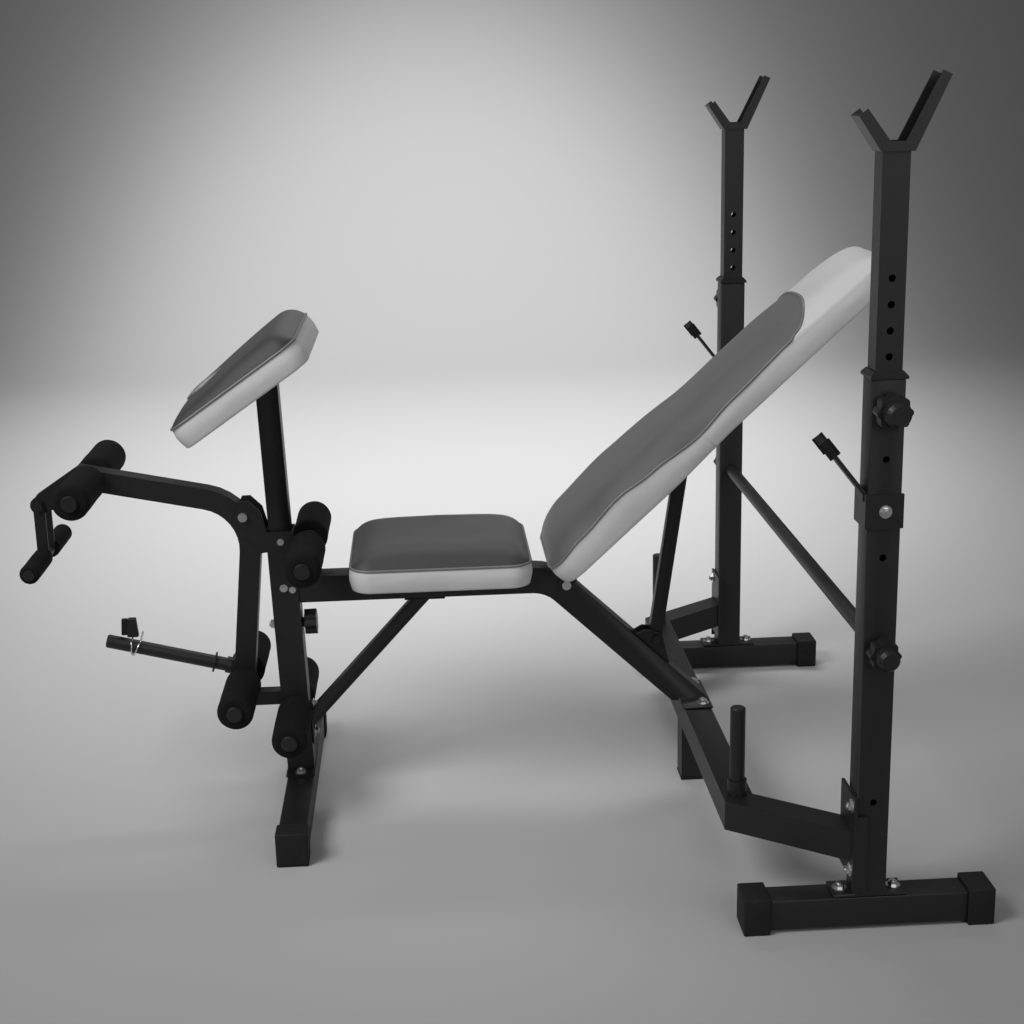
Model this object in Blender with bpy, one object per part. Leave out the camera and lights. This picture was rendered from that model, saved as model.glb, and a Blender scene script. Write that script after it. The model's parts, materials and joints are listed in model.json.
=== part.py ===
"""Adjustable weight bench with a barbell rack, a curl pad and a leg developer.

Metres, +Z up. +X runs from the foot end to the rack end, and Y = 0 is the bench's middle plane.
Every shape is written with the rack uprights at X = 0; the empty "bench" then centres the whole bench.
"""
import math

import bmesh
import bpy
from mathutils import Matrix, Vector

gap = 0.0003            # between pieces that touch
runGap = 0.0005         # round a bolt or a rod that turns

# Tube stock
outerTube = 0.050
innerTube = 0.040
tubeWall = 0.002
developerTube = 0.038
braceTube = 0.025
wall = tubeWall

# Rack
uprightSpacing = 1.170  # between the upright centres
footLength = 0.400      # over the end caps
capWall = 0.006
capLength = 0.043
basePlate = 0.005
basePlateLength = 0.116
collarTop = 0.890
collarLip = 0.011
collarDepth = 0.060
forkBase = 1.200        # underside of the bar where the fork meets the post
postLength = 0.495
holePitch = 0.0375
holesInPost = 8
firstHoleDrop = 0.177   # from the fork base to the first hole
holeRadius = 0.0055
knobHeight = 0.836
braceHeight = 0.468
braceRadius = 0.0125
hookHeight = 0.683
hookPlate = 0.052
hookTip = (-0.090, 0.786)

# Crossbar that joins the uprights
crossbarTop = 0.163
crossbarX = -0.179
crossbarHalf = 0.456    # from the middle to each mitre
crossbarEnd = 0.567
pegHeight = 0.152
pegRadius = 0.0125
pegInset = 0.016

# Bench frame
postX = -0.9265         # at the foot of the front post, which leans away from the seat
postLean = math.radians(1.68)
leanFrom = 0.030        # height that the lean is measured from
postTop = 0.526
beamTop = 0.4385
bendX = -0.449
beamSlope = math.radians(43.4)
stabiliserLength = 0.614
stabiliserCapSide = 0.003
braceTopX = -0.6845
braceSlope = math.radians(47.0)

# Backrest
hingeX = -0.420
hingeZ = 0.405
restAngle = math.radians(42.4)
railHeight = 0.020
railThick = 0.005
boardThick = 0.010
railTop = 0.0246        # board underside above the hinge
backLength = 0.798
backHalf = 0.140
backWaist = 0.118
backPadThick = 0.076
backStart = 0.012
strutFootX = -0.2513
strutFootZ = 0.288
strutAngle = math.radians(81.5)
lugFrom = 0.196         # along the sloping beam
lugTo = 0.284
strutTube = 0.025

# Seat
seatFront = -0.811
seatRear = -0.491
seatHalf = 0.150
seatThick = 0.0725
boardInset = 0.012

# Curl pad
curlX = -0.9491         # where the post's middle line meets the underside of the pad
curlZ = 0.7999
curlBottom = 0.225
curlAngle = math.radians(34.15)
curlFirst = -0.150
curlLast = 0.108
curlHalf = 0.185
curlThick = 0.064
curlKnobZ = 0.343

# Leg developer
pivotX = -1.005
pivotZ = 0.556
armLean = math.radians(6.1)
armRise = math.radians(11.9)
armCornerX = -0.9875
armCornerZ = 0.572
armBend = 0.095
armLower = 0.3952       # from the corner to the lower end
armUpper = 0.3194       # from the corner to the upper end
upperRodAlong = 0.2935
lowerRodAlong = 0.3343
weightPegAlong = 0.3133
weightPegLength = 0.237
weightPegRise = math.radians(14.5)
collarAlong = 0.188
linkX = -1.366
linkZ = 0.590
linkLength = 0.094
stopBottom = 0.200

# Rollers and rods
rollerRadius = 0.033
rollerLength = 0.155
rollerInner = 0.030     # from the middle plane to a roller
rodRadius = 0.011
rodHalf = 0.193
upperRollerX = -0.8905
upperRollerZ = 0.497
lowerRollerX = -0.931
lowerRollerZ = 0.180
gripRadius = 0.018
gripLength = 0.115

footHalf = footLength / 2
tubeFloor = capWall     # foot tubes ride this high on their end caps
tubeTop = tubeFloor + outerTube
plateTop = tubeTop + gap + basePlate
beamMid = beamTop - outerTube / 2
post = postX
bodies = {}


# ---------- shapes ----------

def box(x0, x1, y0, y1, z0, z1):
    mesh = bmesh.new()
    bmesh.ops.create_cube(mesh, size=1.0)
    middle = Vector(((x0 + x1) / 2, (y0 + y1) / 2, (z0 + z1) / 2))
    size = Vector((x1 - x0, y1 - y0, z1 - z0))
    for vert in mesh.verts:
        vert.co = Vector(a * b for a, b in zip(vert.co, size)) + middle
    return mesh


def prism(outline, low, high, along="Y"):
    """An outline of two coordinates, extruded along the third. Along Y it holds (x, z), along Z (x, y)."""
    mesh = bmesh.new()
    place = {
        "Y": lambda a, b, c: (a, c, b),
        "Z": lambda a, b, c: (a, b, c),
        "X": lambda a, b, c: (c, a, b),
    }[along]
    rings = [[mesh.verts.new(place(a, b, c)) for a, b in outline] for c in (low, high)]
    mesh.faces.new(rings[0])
    mesh.faces.new(rings[1])
    count = len(outline)
    for i in range(count):
        j = (i + 1) % count
        mesh.faces.new((rings[0][i], rings[0][j], rings[1][j], rings[1][i]))
    bmesh.ops.recalc_face_normals(mesh, faces=mesh.faces)
    return mesh


def turned(profile, start, direction, steps=24):
    """A profile of (distance along, radius), from axis to axis, turned about a line."""
    mesh = bmesh.new()
    turn = Vector((0, 0, 1)).rotation_difference(Vector(direction)).to_matrix()
    rings = []
    for along, radius in profile:
        if radius == 0:
            rings.append([mesh.verts.new(Vector(start) + turn @ Vector((0, 0, along)))])
            continue
        ring = []
        for i in range(steps):
            angle = 2 * math.pi * i / steps
            point = Vector((radius * math.cos(angle), radius * math.sin(angle), along))
            ring.append(mesh.verts.new(Vector(start) + turn @ point))
        rings.append(ring)
    for a, b in zip(rings, rings[1:]):
        for i in range(steps):
            j = (i + 1) % steps
            if len(a) == 1 and len(b) == 1:
                continue
            if len(a) == 1:
                mesh.faces.new((a[0], b[i], b[j]))
            elif len(b) == 1:
                mesh.faces.new((a[i], a[j], b[0]))
            else:
                mesh.faces.new((a[i], a[j], b[j], b[i]))
    bmesh.ops.recalc_face_normals(mesh, faces=mesh.faces)
    return mesh


def rod(start, end, radius, steps=24):
    span = Vector(end) - Vector(start)
    return turned([(0, 0), (0, radius), (span.length, radius), (span.length, 0)], start, span, steps)


def sleeve(start, direction, length, outer, inner, steps=24):
    """A plain ring or bush, open right through."""
    mesh = bmesh.new()
    turn = Vector((0, 0, 1)).rotation_difference(Vector(direction)).to_matrix()
    rings = []
    for along, radius in ((0, outer), (length, outer), (length, inner), (0, inner)):
        ring = []
        for i in range(steps):
            angle = 2 * math.pi * i / steps
            point = Vector((radius * math.cos(angle), radius * math.sin(angle), along))
            ring.append(mesh.verts.new(Vector(start) + turn @ point))
        rings.append(ring)
    for a, b in zip(rings, rings[1:] + rings[:1]):
        for i in range(steps):
            j = (i + 1) % steps
            mesh.faces.new((a[i], a[j], b[j], b[i]))
    bmesh.ops.recalc_face_normals(mesh, faces=mesh.faces)
    return mesh


def swept(points, across, high, thick=0.0):
    """A rectangular tube along a flat path in XZ or XY, mitred at each point. thick 0 makes it solid."""
    mesh = bmesh.new()
    path = [Vector(p) for p in points]
    flat = all(abs(p.y - path[0].y) < 1e-9 for p in path)
    side = Vector((0, 1, 0)) if flat else Vector((0, 0, 1))
    sizes = [(across / 2, high / 2)]
    if thick:
        sizes.append((across / 2 - thick, high / 2 - thick))
    rings = []
    for i, point in enumerate(path):
        before = (point - path[i - 1]).normalized() if i else None
        after = (path[i + 1] - point).normalized() if i + 1 < len(path) else None
        along = ((before or after) + (after or before)).normalized()
        stretch = 1 / along.dot(before or after)
        up = side.cross(along).normalized()
        ring = []
        for half, tall in sizes:
            for a, b in ((-1, -1), (1, -1), (1, 1), (-1, 1)):
                ring.append(mesh.verts.new(point + side * half * a + up * tall * b * stretch))
        rings.append(ring)
    for a, b in zip(rings, rings[1:]):
        for shell in range(len(sizes)):
            for k in range(4):
                p = shell * 4 + k
                q = shell * 4 + (k + 1) % 4
                mesh.faces.new((a[p], a[q], b[q], b[p]))
    for ring in (rings[0], rings[-1]):
        if not thick:
            mesh.faces.new(ring)
            continue
        for k in range(4):
            q = (k + 1) % 4
            mesh.faces.new((ring[k], ring[q], ring[4 + q], ring[4 + k]))
    bmesh.ops.recalc_face_normals(mesh, faces=mesh.faces)
    return mesh


def arc(centre, radius, first, last, steps):
    """Points (a, b) on an arc, with angles in degrees."""
    points = []
    for i in range(steps + 1):
        angle = math.radians(first + (last - first) * i / steps)
        points.append((centre[0] + radius * math.cos(angle), centre[1] + radius * math.sin(angle)))
    return points


def hull(points):
    """The convex outline of a set of (a, b) points, counter-clockwise."""
    ordered = sorted(set((round(a, 7), round(b, 7)) for a, b in points))
    halves = []
    for run in (ordered, ordered[::-1]):
        half = []
        for p in run:
            while len(half) > 1:
                (ax, ay), (bx, by) = half[-2], half[-1]
                if (bx - ax) * (p[1] - ay) - (by - ay) * (p[0] - ax) > 1e-12:
                    break
                half.pop()
            half.append(p)
        halves.append(half[:-1])
    return halves[0] + halves[1]


def roundedOutline(x0, x1, y0, y1, radius, steps=5):
    points = []
    for cx, cy, first in ((x1, y1, 0), (x0, y1, 90), (x0, y0, 180), (x1, y0, 270)):
        inX = cx - math.copysign(radius, cx - (x0 + x1) / 2)
        inY = cy - math.copysign(radius, cy - (y0 + y1) / 2)
        points += arc((inX, inY), radius, first, first + 90, steps)
    return points


def leaned(mesh):
    """Tips a shape drawn upright on the front post's foot to the post's lean."""
    foot = Vector((postX, 0, leanFrom))
    mesh.transform(Matrix.Translation(foot) @ Matrix.Rotation(-postLean, 4, "Y")
                   @ Matrix.Translation(-foot))
    return mesh


def leanedPoint(x, z):
    foot = Vector((postX, 0, leanFrom))
    return foot + Matrix.Rotation(-postLean, 3, "Y") @ (Vector((x, 0, z)) - foot)


# ---------- objects ----------

def temporary(mesh):
    data = bpy.data.meshes.new("shape")
    mesh.to_mesh(data)
    mesh.free()
    thing = bpy.data.objects.new("shape", data)
    bpy.context.scene.collection.objects.link(thing)
    return thing


def combined(first, others, operation):
    base = temporary(first)
    helpers = [temporary(other) for other in others]
    for helper in helpers:
        modifier = base.modifiers.new("join", "BOOLEAN")
        modifier.operation = operation
        modifier.object = helper
    bpy.context.view_layer.update()
    shape = base.evaluated_get(bpy.context.evaluated_depsgraph_get())
    result = bmesh.new()
    result.from_mesh(shape.to_mesh())
    shape.to_mesh_clear()
    for thing in [base] + helpers:
        data = thing.data
        bpy.data.objects.remove(thing)
        bpy.data.meshes.remove(data)
    bmesh.ops.remove_doubles(result, verts=result.verts, dist=1e-6)
    return result


def welded(first, *others):
    return combined(first, others, "UNION")


def drilled(first, *others):
    return combined(first, others, "DIFFERENCE")


def material(name, colour, roughness, metallic=0.0):
    made = bpy.data.materials.get(name)
    if made is None:
        made = bpy.data.materials.new(name)
        made.use_nodes = True
        shader = made.node_tree.nodes["Principled BSDF"]
        shader.inputs["Base Color"].default_value = (*colour, 1.0)
        shader.inputs["Roughness"].default_value = roughness
        shader.inputs["Metallic"].default_value = metallic
    return made


def paint():
    return material("black_powder_coat", (0.022, 0.022, 0.024), 0.5)


def rubber():
    return material("black_rubber", (0.015, 0.015, 0.015), 0.75)


def plastic():
    return material("black_plastic", (0.018, 0.018, 0.019), 0.4)


def zinc():
    return material("zinc_plate", (0.62, 0.62, 0.60), 0.35, 1.0)


def foam():
    return material("black_foam", (0.014, 0.014, 0.014), 0.9)


def vinyl():
    return material("silver_vinyl", (0.60, 0.60, 0.61), 0.45)


def plywood():
    return material("plywood", (0.10, 0.085, 0.07), 0.8)


def axisEmpty(name, location, parent=None, tilt=0.0):
    """An empty on a joint's axis. Positions are in the rack's frame; tilt turns it about Y."""
    empty = bpy.data.objects.new(name, None)
    bpy.context.scene.collection.objects.link(empty)
    empty.empty_display_size = 0.05
    empty.location = Vector(location) - (bodies[parent] if parent else Vector())
    empty.rotation_euler = (0, tilt, 0)
    if parent:
        empty.parent = bpy.data.objects[parent]
    bodies[name] = Vector(location)
    return empty


def add(name, mesh, finish, parent="bench", smooth=True):
    """Makes a node. mesh is in the rack's frame, or in the parent's own frame where that one is tilted."""
    data = bpy.data.meshes.new(name)
    holder = bpy.data.objects[parent]
    if holder.rotation_euler.y == 0:
        mesh.transform(Matrix.Translation(-bodies[parent]))
    mesh.to_mesh(data)
    mesh.free()
    data.materials.append(finish)
    if smooth:
        data.shade_smooth()
        data.set_sharp_from_angle(angle=math.radians(30))
    thing = bpy.data.objects.new(name, data)
    bpy.context.scene.collection.objects.link(thing)
    thing.parent = holder
    return thing


# ---------- rack ----------

def slipCap(x, y, inward, along="X"):
    """A rubber cap over the end of a foot tube. inward is +1 or -1, towards the tube."""
    half = outerTube / 2 + capWall
    side = outerTube / 2 + stabiliserCapSide
    hole = outerTube / 2 + gap
    depth = capLength - capWall
    low, high = sorted((0.0, inward * capLength))
    inLow, inHigh = sorted((inward * capWall, inward * (capWall + depth + 0.01)))
    if along == "X":
        shell = box(x + low, x + high, y - half, y + half, 0, 2 * half)
        room = box(x + inLow, x + inHigh, y - hole, y + hole, half - hole, half + hole)
    else:
        shell = box(x - side, x + side, y + low, y + high, 0, 2 * half)
        room = box(x - hole, x + hole, y + inLow, y + inHigh, half - hole, half + hole)
    return drilled(shell, room)


def lobedKnob(face, x, z, side, radius, shank, stem=0.012, depth=0.024, cap=0.024):
    """A lobed hand knob with a threaded shank, on the face at Y = face. side is -1 or +1."""
    lobes, steps = 8, 48
    outline = []
    for i in range(steps):
        angle = 2 * math.pi * i / steps
        reach = radius - 0.0022 + 0.0022 * math.cos(lobes * angle)
        outline.append((x + reach * math.cos(angle), z + reach * math.sin(angle)))
    near, far = sorted((face + side * stem, face + side * (stem + depth)))
    body = prism(outline, near, far)
    direction = (0, side, 0)
    start = (x, face - side * shank, z)
    profile = [(0, 0), (0, 0.005), (shank + gap, 0.005), (shank + gap, 0.0092), (shank + stem + 0.008, 0.0092)]
    if cap:
        end = shank + stem + depth + cap
        profile += [(shank + stem + 0.008, radius * 0.69), (end - 0.006, radius * 0.69), (end, radius * 0.5), (end, 0)]
    else:
        profile += [(shank + stem + 0.008, 0)]
    return welded(body, turned(profile, start, direction))


def rackSide(word, side):
    y = side * uprightSpacing / 2
    halfTube = outerTube / 2
    inside = footHalf - capWall - gap
    foot = swept([(-inside, y, tubeFloor + halfTube), (inside, y, tubeFloor + halfTube)],
                 outerTube, outerTube, wall)
    add(f"{word}_foot_tube", foot, paint())
    add(f"{word}_foot_cap_front", slipCap(-footHalf, y, 1), rubber())
    add(f"{word}_foot_cap_rear", slipCap(footHalf, y, -1), rubber())

    # Outer upright, welded to its base plate
    plateLow = tubeTop + gap
    tubeEnd = collarTop - collarLip - gap
    outer = swept([(0, y, plateTop - 0.002), (0, y, tubeEnd)], outerTube, outerTube, wall)
    plate = box(-basePlateLength / 2, basePlateLength / 2, y - halfTube, y + halfTube,
                plateLow, plateTop)
    outer = welded(outer, plate)
    face = y + side * halfTube
    holes = [rod((0, y + side * (halfTube + 0.01), z), (0, y + side * 0.01, z), holeRadius, 12)
             for z in (knobHeight, braceHeight, 0.760, 0.611, 0.217)]
    holes.append(rod((0, y - side * (halfTube + 0.01), braceHeight),
                     (0, y - side * 0.01, braceHeight), holeRadius, 12))
    add(f"{word}_upright", drilled(outer, *holes), paint())

    # Guide collar: a lip on the tube's end and a bush between the two tubes
    bore = innerTube / 2 + runGap
    lip = halfTube + 0.003
    bush = halfTube - wall - gap
    brim = turned([(0, 0), (0, lip * 2 ** 0.5), (0.004, lip * 2 ** 0.5), (collarLip, (bore + 0.0015) * 2 ** 0.5),
                   (collarLip, 0)], (0, 0, 0), (0, 0, 1), 4)
    brim.transform(Matrix.Translation((0, y, collarTop - collarLip)) @ Matrix.Rotation(math.pi / 4, 4, "Z"))
    collar = welded(
        brim,
        box(-bush, bush, y - bush, y + bush, collarTop - collarDepth - collarLip, collarTop - 0.001))
    pinHole = rod((0, y + side * 0.03, knobHeight), (0, y, knobHeight), holeRadius, 12)
    collar = drilled(collar, box(-bore, bore, y - bore, y + bore, 0.7, 1.0), pinHole)
    add(f"{word}_collar", collar, plastic())

    # Inner post with its row of holes, and the bar fork welded on top
    axisEmpty(f"{word}_post_axis", (0, y, collarTop), "bench")
    tube = swept([(0, y, forkBase - postLength), (0, y, forkBase)], innerTube, innerTube, wall)
    forkMesh = fork(y)
    rows = [rod((0, y - 0.03, z), (0, y + 0.03, z), holeRadius, 12)
            for z in (forkBase - firstHoleDrop - i * holePitch for i in range(holesInPost))]
    add(f"{word}_post", drilled(welded(tube, forkMesh), *rows), paint(), f"{word}_post_axis")

    # Clamping knob: its tip stops just short of the post
    reach = outerTube / 2 - innerTube / 2 - gap
    axisEmpty(f"{word}_height_knob_axis", (0, face, knobHeight), "bench")
    add(f"{word}_height_knob", lobedKnob(face, 0, knobHeight, side, 0.027, reach), plastic(),
        f"{word}_height_knob_axis")
    axisEmpty(f"{word}_brace_knob_axis", (0, face, braceHeight), "bench")
    add(f"{word}_brace_knob", lobedKnob(face, 0, braceHeight, side, 0.024, outerTube + 0.014),
        plastic(), f"{word}_brace_knob_axis")
    add(f"{word}_safety_hook", safetyHook(y), paint())


def fork(y):
    """A bar fork: a strip bent to a wide V, with a low lip along both edges."""
    half = 0.023
    thick = 0.004
    base = forkBase
    shortTip = (-0.056, base + 0.048)
    longTip = (0.073, base + 0.101)
    left, right = -0.023, 0.0255

    def strip(depth):
        up = [(shortTip[0] + depth, shortTip[1] + depth * 0.7), (left + depth, base + depth),
              (right - depth, base + depth), (longTip[0] - depth, longTip[1] + depth * 0.45)]
        down = [longTip, (right, base - thick / 4), (left, base - thick / 4), shortTip]
        return up + down

    web = prism(strip(thick), y - half, y + half)
    edges = [prism(strip(0.013), y + a, y + b)
             for a, b in ((-half, -half + 0.003), (half - 0.003, half))]
    return welded(web, *edges)


def safetyHook(y):
    """A saddle round the upright with a strip that slants up and forward to catch the bar."""
    half = outerTube / 2 + gap
    thick = 0.005
    low, high = hookHeight - hookPlate / 2, hookHeight + hookPlate / 2
    saddle = drilled(
        box(-half - thick, half + 0.002, y - half - thick, y + half + thick, low, high),
        box(-half, half + 0.01, y - half, y + half, low - 0.01, high + 0.01))
    root, tip = Vector((-0.0295, high)), Vector(hookTip)
    along = (tip - root).normalized()
    across = Vector((along.y, -along.x))
    pad = tip - along * 0.020
    outline = [root + across * 0.003, pad + across * 0.003, pad + across * 0.006, tip + across * 0.006,
               tip - across * 0.006, pad - across * 0.006, pad - across * 0.003, root - across * 0.003]
    arm = prism([(-half - thick - 0.0015, high - 0.012), (-half - 0.001, high - 0.012)]
                + [tuple(p) for p in outline], y - 0.020, y + 0.020)
    return welded(saddle, arm)


def lateralBrace():
    """A round tube between the uprights. The lower knobs screw into its plugged ends."""
    end = uprightSpacing / 2 - outerTube / 2 - gap
    plug = 0.020
    outer = rod((0, -end, braceHeight), (0, end, braceHeight), braceRadius)
    hollow = rod((0, -end + plug, braceHeight), (0, end - plug, braceHeight), braceRadius - wall)
    screw = 0.005 + runGap
    tap = rod((0, -end - 0.01, braceHeight), (0, end + 0.01, braceHeight), screw)
    add("lateral_brace", drilled(outer, hollow, tap), paint())


# ---------- crossbar and bench frame ----------

def crossbar():
    """A bar with two mitred arms, welded to an angle plate at each upright and to a middle leg."""
    mid = crossbarTop - outerTube / 2
    plateOut = -(outerTube / 2 + gap)
    end = plateOut - basePlate + 0.001
    slant = (Vector((end, crossbarEnd, mid)) - Vector((crossbarX, crossbarHalf, mid))).normalized()
    longEnd = Vector((end, crossbarEnd, mid)) + slant * 0.03
    path = [(longEnd.x, -longEnd.y, mid), (crossbarX, -crossbarHalf, mid),
            (crossbarX, crossbarHalf, mid), (longEnd.x, longEnd.y, mid)]
    bar = drilled(swept(path, outerTube, outerTube, wall), box(end, 0.1, -0.7, 0.7, 0.05, 0.25))
    extras = []
    for side in (-1, 1):
        outerFace = side * (uprightSpacing / 2 + outerTube / 2 + gap)
        lip = outerFace + side * basePlate
        inner = side * (crossbarEnd - 0.034)
        low, high = sorted((lip, inner))
        extras.append(box(plateOut - basePlate, plateOut, low, high, 0.085, 0.225))
        low, high = sorted((outerFace, lip))
        extras.append(box(plateOut - basePlate, -0.009, low, high, 0.068, 0.195))
    leg = swept([(crossbarX, 0, 0.0075), (crossbarX, 0, crossbarTop - outerTube + 0.001)],
                outerTube, outerTube - 0.002, wall)
    windows = [box(-0.04, -0.02, side * crossbarEnd - 0.013, side * crossbarEnd + 0.013,
                   mid - 0.015, mid + 0.015) for side in (-1, 1)]
    for side in (-1, 1):
        profile = [(0, 0), (0, pegRadius + 0.0035), (0.026, pegRadius + 0.0035),
                   (0.026, pegRadius), (pegHeight - 0.002, pegRadius),
                   (pegHeight, pegRadius - 0.002), (pegHeight, 0)]
        spot = (crossbarX, side * (crossbarHalf - pegInset), crossbarTop + gap)
        word = "near" if side < 0 else "far"
        add(f"{word}_storage_peg", turned(profile, spot, (0, 0, 1)), paint())
    add("rear_crossbar", drilled(welded(bar, *extras, leg), *windows), paint())
    half = outerTube / 2
    foot = welded(
        box(crossbarX - half, crossbarX + half, -half, half, 0, 0.0072),
        box(crossbarX - half + wall + 0.002, crossbarX + half - wall - 0.002,
            -half + wall + 0.002, half - wall - 0.002, 0.005, 0.030))
    add("crossbar_foot", foot, rubber())


def beamPoint(along, lift=0.0):
    """A point on the sloping part of the main beam, along from the bend, lift above its middle line."""
    return (bendX + along * math.cos(beamSlope) + lift * math.sin(beamSlope),
            beamMid - along * math.sin(beamSlope) + lift * math.cos(beamSlope))


def mainBeam():
    """Seat beam and sloping rear beam, one bent tube, with a foot plate on the crossbar."""
    start = leanedPoint(post + outerTube / 2 + gap, beamMid).x
    bend = 0.030
    path = [(start, 0, beamMid)]
    for k in range(5):
        part = k / 4
        out = bendX - bend * (1 - part)
        slopeX, slopeZ = beamPoint(bend * part)
        path.append((out * (1 - part) + slopeX * part, 0, beamMid * (1 - part) + slopeZ * part))
    drop = (beamMid - crossbarTop - gap - basePlate + 0.001) / math.sin(beamSlope)
    endX, endZ = beamPoint(drop)
    path.append((endX, 0, endZ))
    tube = swept(path, outerTube, outerTube, wall)
    for vert in tube.verts:
        if vert.co.x < start + 0.001:
            vert.co.x = start - math.tan(postLean) * (vert.co.z - beamMid)
    plateZ = crossbarTop + gap
    plate = box(crossbarX - 0.030, crossbarX + 0.028, -0.070, 0.070, plateZ, plateZ + basePlate)
    longEnd = swept([(endX - 0.001 * math.cos(beamSlope), 0, endZ + 0.001 * math.sin(beamSlope)),
                     (endX + 0.040 * math.cos(beamSlope), 0, endZ - 0.040 * math.sin(beamSlope))],
                    outerTube, outerTube, wall)
    below = box(endX - 0.2, endX + 0.2, -0.1, 0.1, plateZ - 0.2, plateZ + 0.001)
    slant = drilled(welded(tube, longEnd), below)
    window = box(endX - 0.006, endX + 0.010, -0.008, 0.008, plateZ - 0.01, plateZ + 0.02)
    hinge = rod((hingeX, -0.04, hingeZ), (hingeX, 0.04, hingeZ), 0.005 + runGap, 16)
    add("main_beam", drilled(welded(slant, plate), window, hinge), paint())

    # Lug for the strut: a channel on the sloping tube with the strut's bolt through it
    lugHalf = strutTube / 2 + runGap
    foot = [beamPoint(along, outerTube / 2 + gap) for along in (lugFrom, lugTo)]
    outline = hull(foot + [(strutFootX - 0.023, strutFootZ + 0.0175), (strutFootX - 0.010, strutFootZ + 0.0165)]
                   + arc((strutFootX, strutFootZ), 0.013, 0, 360, 16))
    cheeks = [prism(outline, *sorted((s * lugHalf, s * (lugHalf + 0.004)))) for s in (-1, 1)]
    low = [beamPoint(a, outerTube / 2 + gap + 0.0002) for a in (lugFrom + 0.003, lugTo - 0.003)]
    high = [beamPoint(a, outerTube / 2 + gap + 0.0027) for a in (lugTo - 0.003, lugFrom + 0.003)]
    floor = prism(low + high, -lugHalf - 0.001, lugHalf + 0.001)
    bolt = turned([(0, 0), (0, 0.0075), (0.006, 0.0075), (0.006, 0.004), (0.046, 0.004),
                   (0.046, 0.0075), (0.052, 0.0075), (0.052, 0)],
                  (strutFootX, -0.026, strutFootZ), (0, 1, 0), 16)
    add("strut_lug", welded(cheeks[0], cheeks[1], floor, bolt), paint())

    # Diagonal brace under the seat beam, with a plate at each end
    topZ = beamTop - outerTube - gap
    run = Vector((math.cos(braceSlope), 0, math.sin(braceSlope)))
    top = Vector((braceTopX, 0, topZ))
    faceX = leanedPoint(post + outerTube / 2 + gap, 0.155).x
    length = (top.x - faceX) / run.x
    tube = swept([top + run * 0.04, top - run * (length + 0.04)], braceTube, braceTube, wall)
    tube = drilled(tube, box(-0.9, -0.4, -0.1, 0.1, topZ - 0.002, 0.6),
                   leaned(box(-1.2, post + outerTube / 2 + gap + 0.002, -0.1, 0.1, -0.1, 0.6)))
    upper = box(braceTopX - 0.035, braceTopX + 0.040, -0.022, 0.022, topZ - 0.004, topZ)
    lowerZ = top.z - run.z * length
    plateX = post + outerTube / 2 + gap
    lower = leaned(box(plateX, plateX + 0.004, -0.022, 0.022, lowerZ - 0.045, lowerZ + 0.030))
    vent = rod((faceX - 0.02, 0, lowerZ), (faceX + 0.04, 0, lowerZ), 0.006, 12)
    add("diagonal_brace", drilled(welded(tube, upper, lower), vent), paint())


def frontPost():
    """The front post on its plate, with the developer's clevis and the upper roller's socket."""
    half = outerTube / 2
    low = tubeTop + gap
    tube = leaned(swept([(post, 0, low + basePlate - 0.0025), (post, 0, postTop)],
                        outerTube, outerTube, wall))
    plate = box(post - half - 0.002, post + half + 0.001, -0.055, 0.055, low, low + basePlate)
    cheekAt = developerTube / 2 + runGap
    frontFace = leanedPoint(post - half, 0.510).x
    outline = hull([(frontFace + 0.0007, 0.487), (frontFace + 0.0007, 0.532), (-0.9692, 0.5353), (-0.9733, 0.5637),
                    (-0.9941, 0.5846), (-1.0093, 0.5841), (-0.9803, 0.4853)]
                   + arc((pivotX, pivotZ), 0.016, 0, 360, 24))
    cheeks = [prism(outline, *sorted((s * cheekAt, s * (cheekAt + 0.004)))) for s in (-1, 1)]
    backPlate = leaned(box(post - half - 0.004, post - half + 0.0011, -cheekAt - 0.0031, cheekAt + 0.0031,
                           0.4891, 0.5217))
    socket = rod((upperRollerX, -0.024, upperRollerZ), (upperRollerX, 0.024, upperRollerZ),
                 rodRadius + 0.0055)
    rearFace = leanedPoint(post + half, upperRollerZ).x
    standoff = box(rearFace - 0.0012, upperRollerX - 0.0127, -0.0205, 0.0205, upperRollerZ - 0.0093, upperRollerZ + 0.0091)
    body = welded(tube, plate, backPlate, cheeks[0], cheeks[1], standoff, socket)
    cuts = [
        rod((upperRollerX, -0.05, upperRollerZ), (upperRollerX, 0.05, upperRollerZ), rodRadius + gap),
        rod((lowerRollerX, -0.05, lowerRollerZ), (lowerRollerX, 0.05, lowerRollerZ), rodRadius + gap),
        rod((pivotX, -0.05, pivotZ), (pivotX, 0.05, pivotZ), 0.005 + gap, 16),
        leaned(rod((post, 0, curlKnobZ), (post + 0.05, 0, curlKnobZ), holeRadius, 12)),
    ]
    for cut in cuts[::-1]:
        body = drilled(body, cut)
    add("front_post", body, paint())
    for word, x, z in (("upper", upperRollerX, upperRollerZ), ("lower", lowerRollerX, lowerRollerZ)):
        rodAndRollers(f"post_{word}", x, z, "bench")

    stab = stabiliserLength / 2 - capWall - gap
    mid = tubeFloor + half
    add("front_stabiliser", swept([(post, -stab, mid), (post, stab, mid)],
                                  outerTube, outerTube, wall), paint())
    add("near_stabiliser_cap", slipCap(post, -stabiliserLength / 2, 1, "Y"), rubber())
    add("far_stabiliser_cap", slipCap(post, stabiliserLength / 2, -1, "Y"), rubber())
    add("developer_bolt", throughBolt(pivotX, pivotZ, cheekAt + 0.004 + gap), zinc())


def throughBolt(x, z, half):
    """A bolt across the bench with a head at -Y and a nut at +Y."""
    head, shank = 0.0085, 0.005
    profile = [(0, 0), (0, head), (0.007, head), (0.007, shank),
               (0.007 + 2 * half, shank), (0.007 + 2 * half, head), (0.015 + 2 * half, head),
               (0.015 + 2 * half, 0)]
    return turned(profile, (x, -half - 0.007, z), (0, 1, 0), 16)


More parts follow.
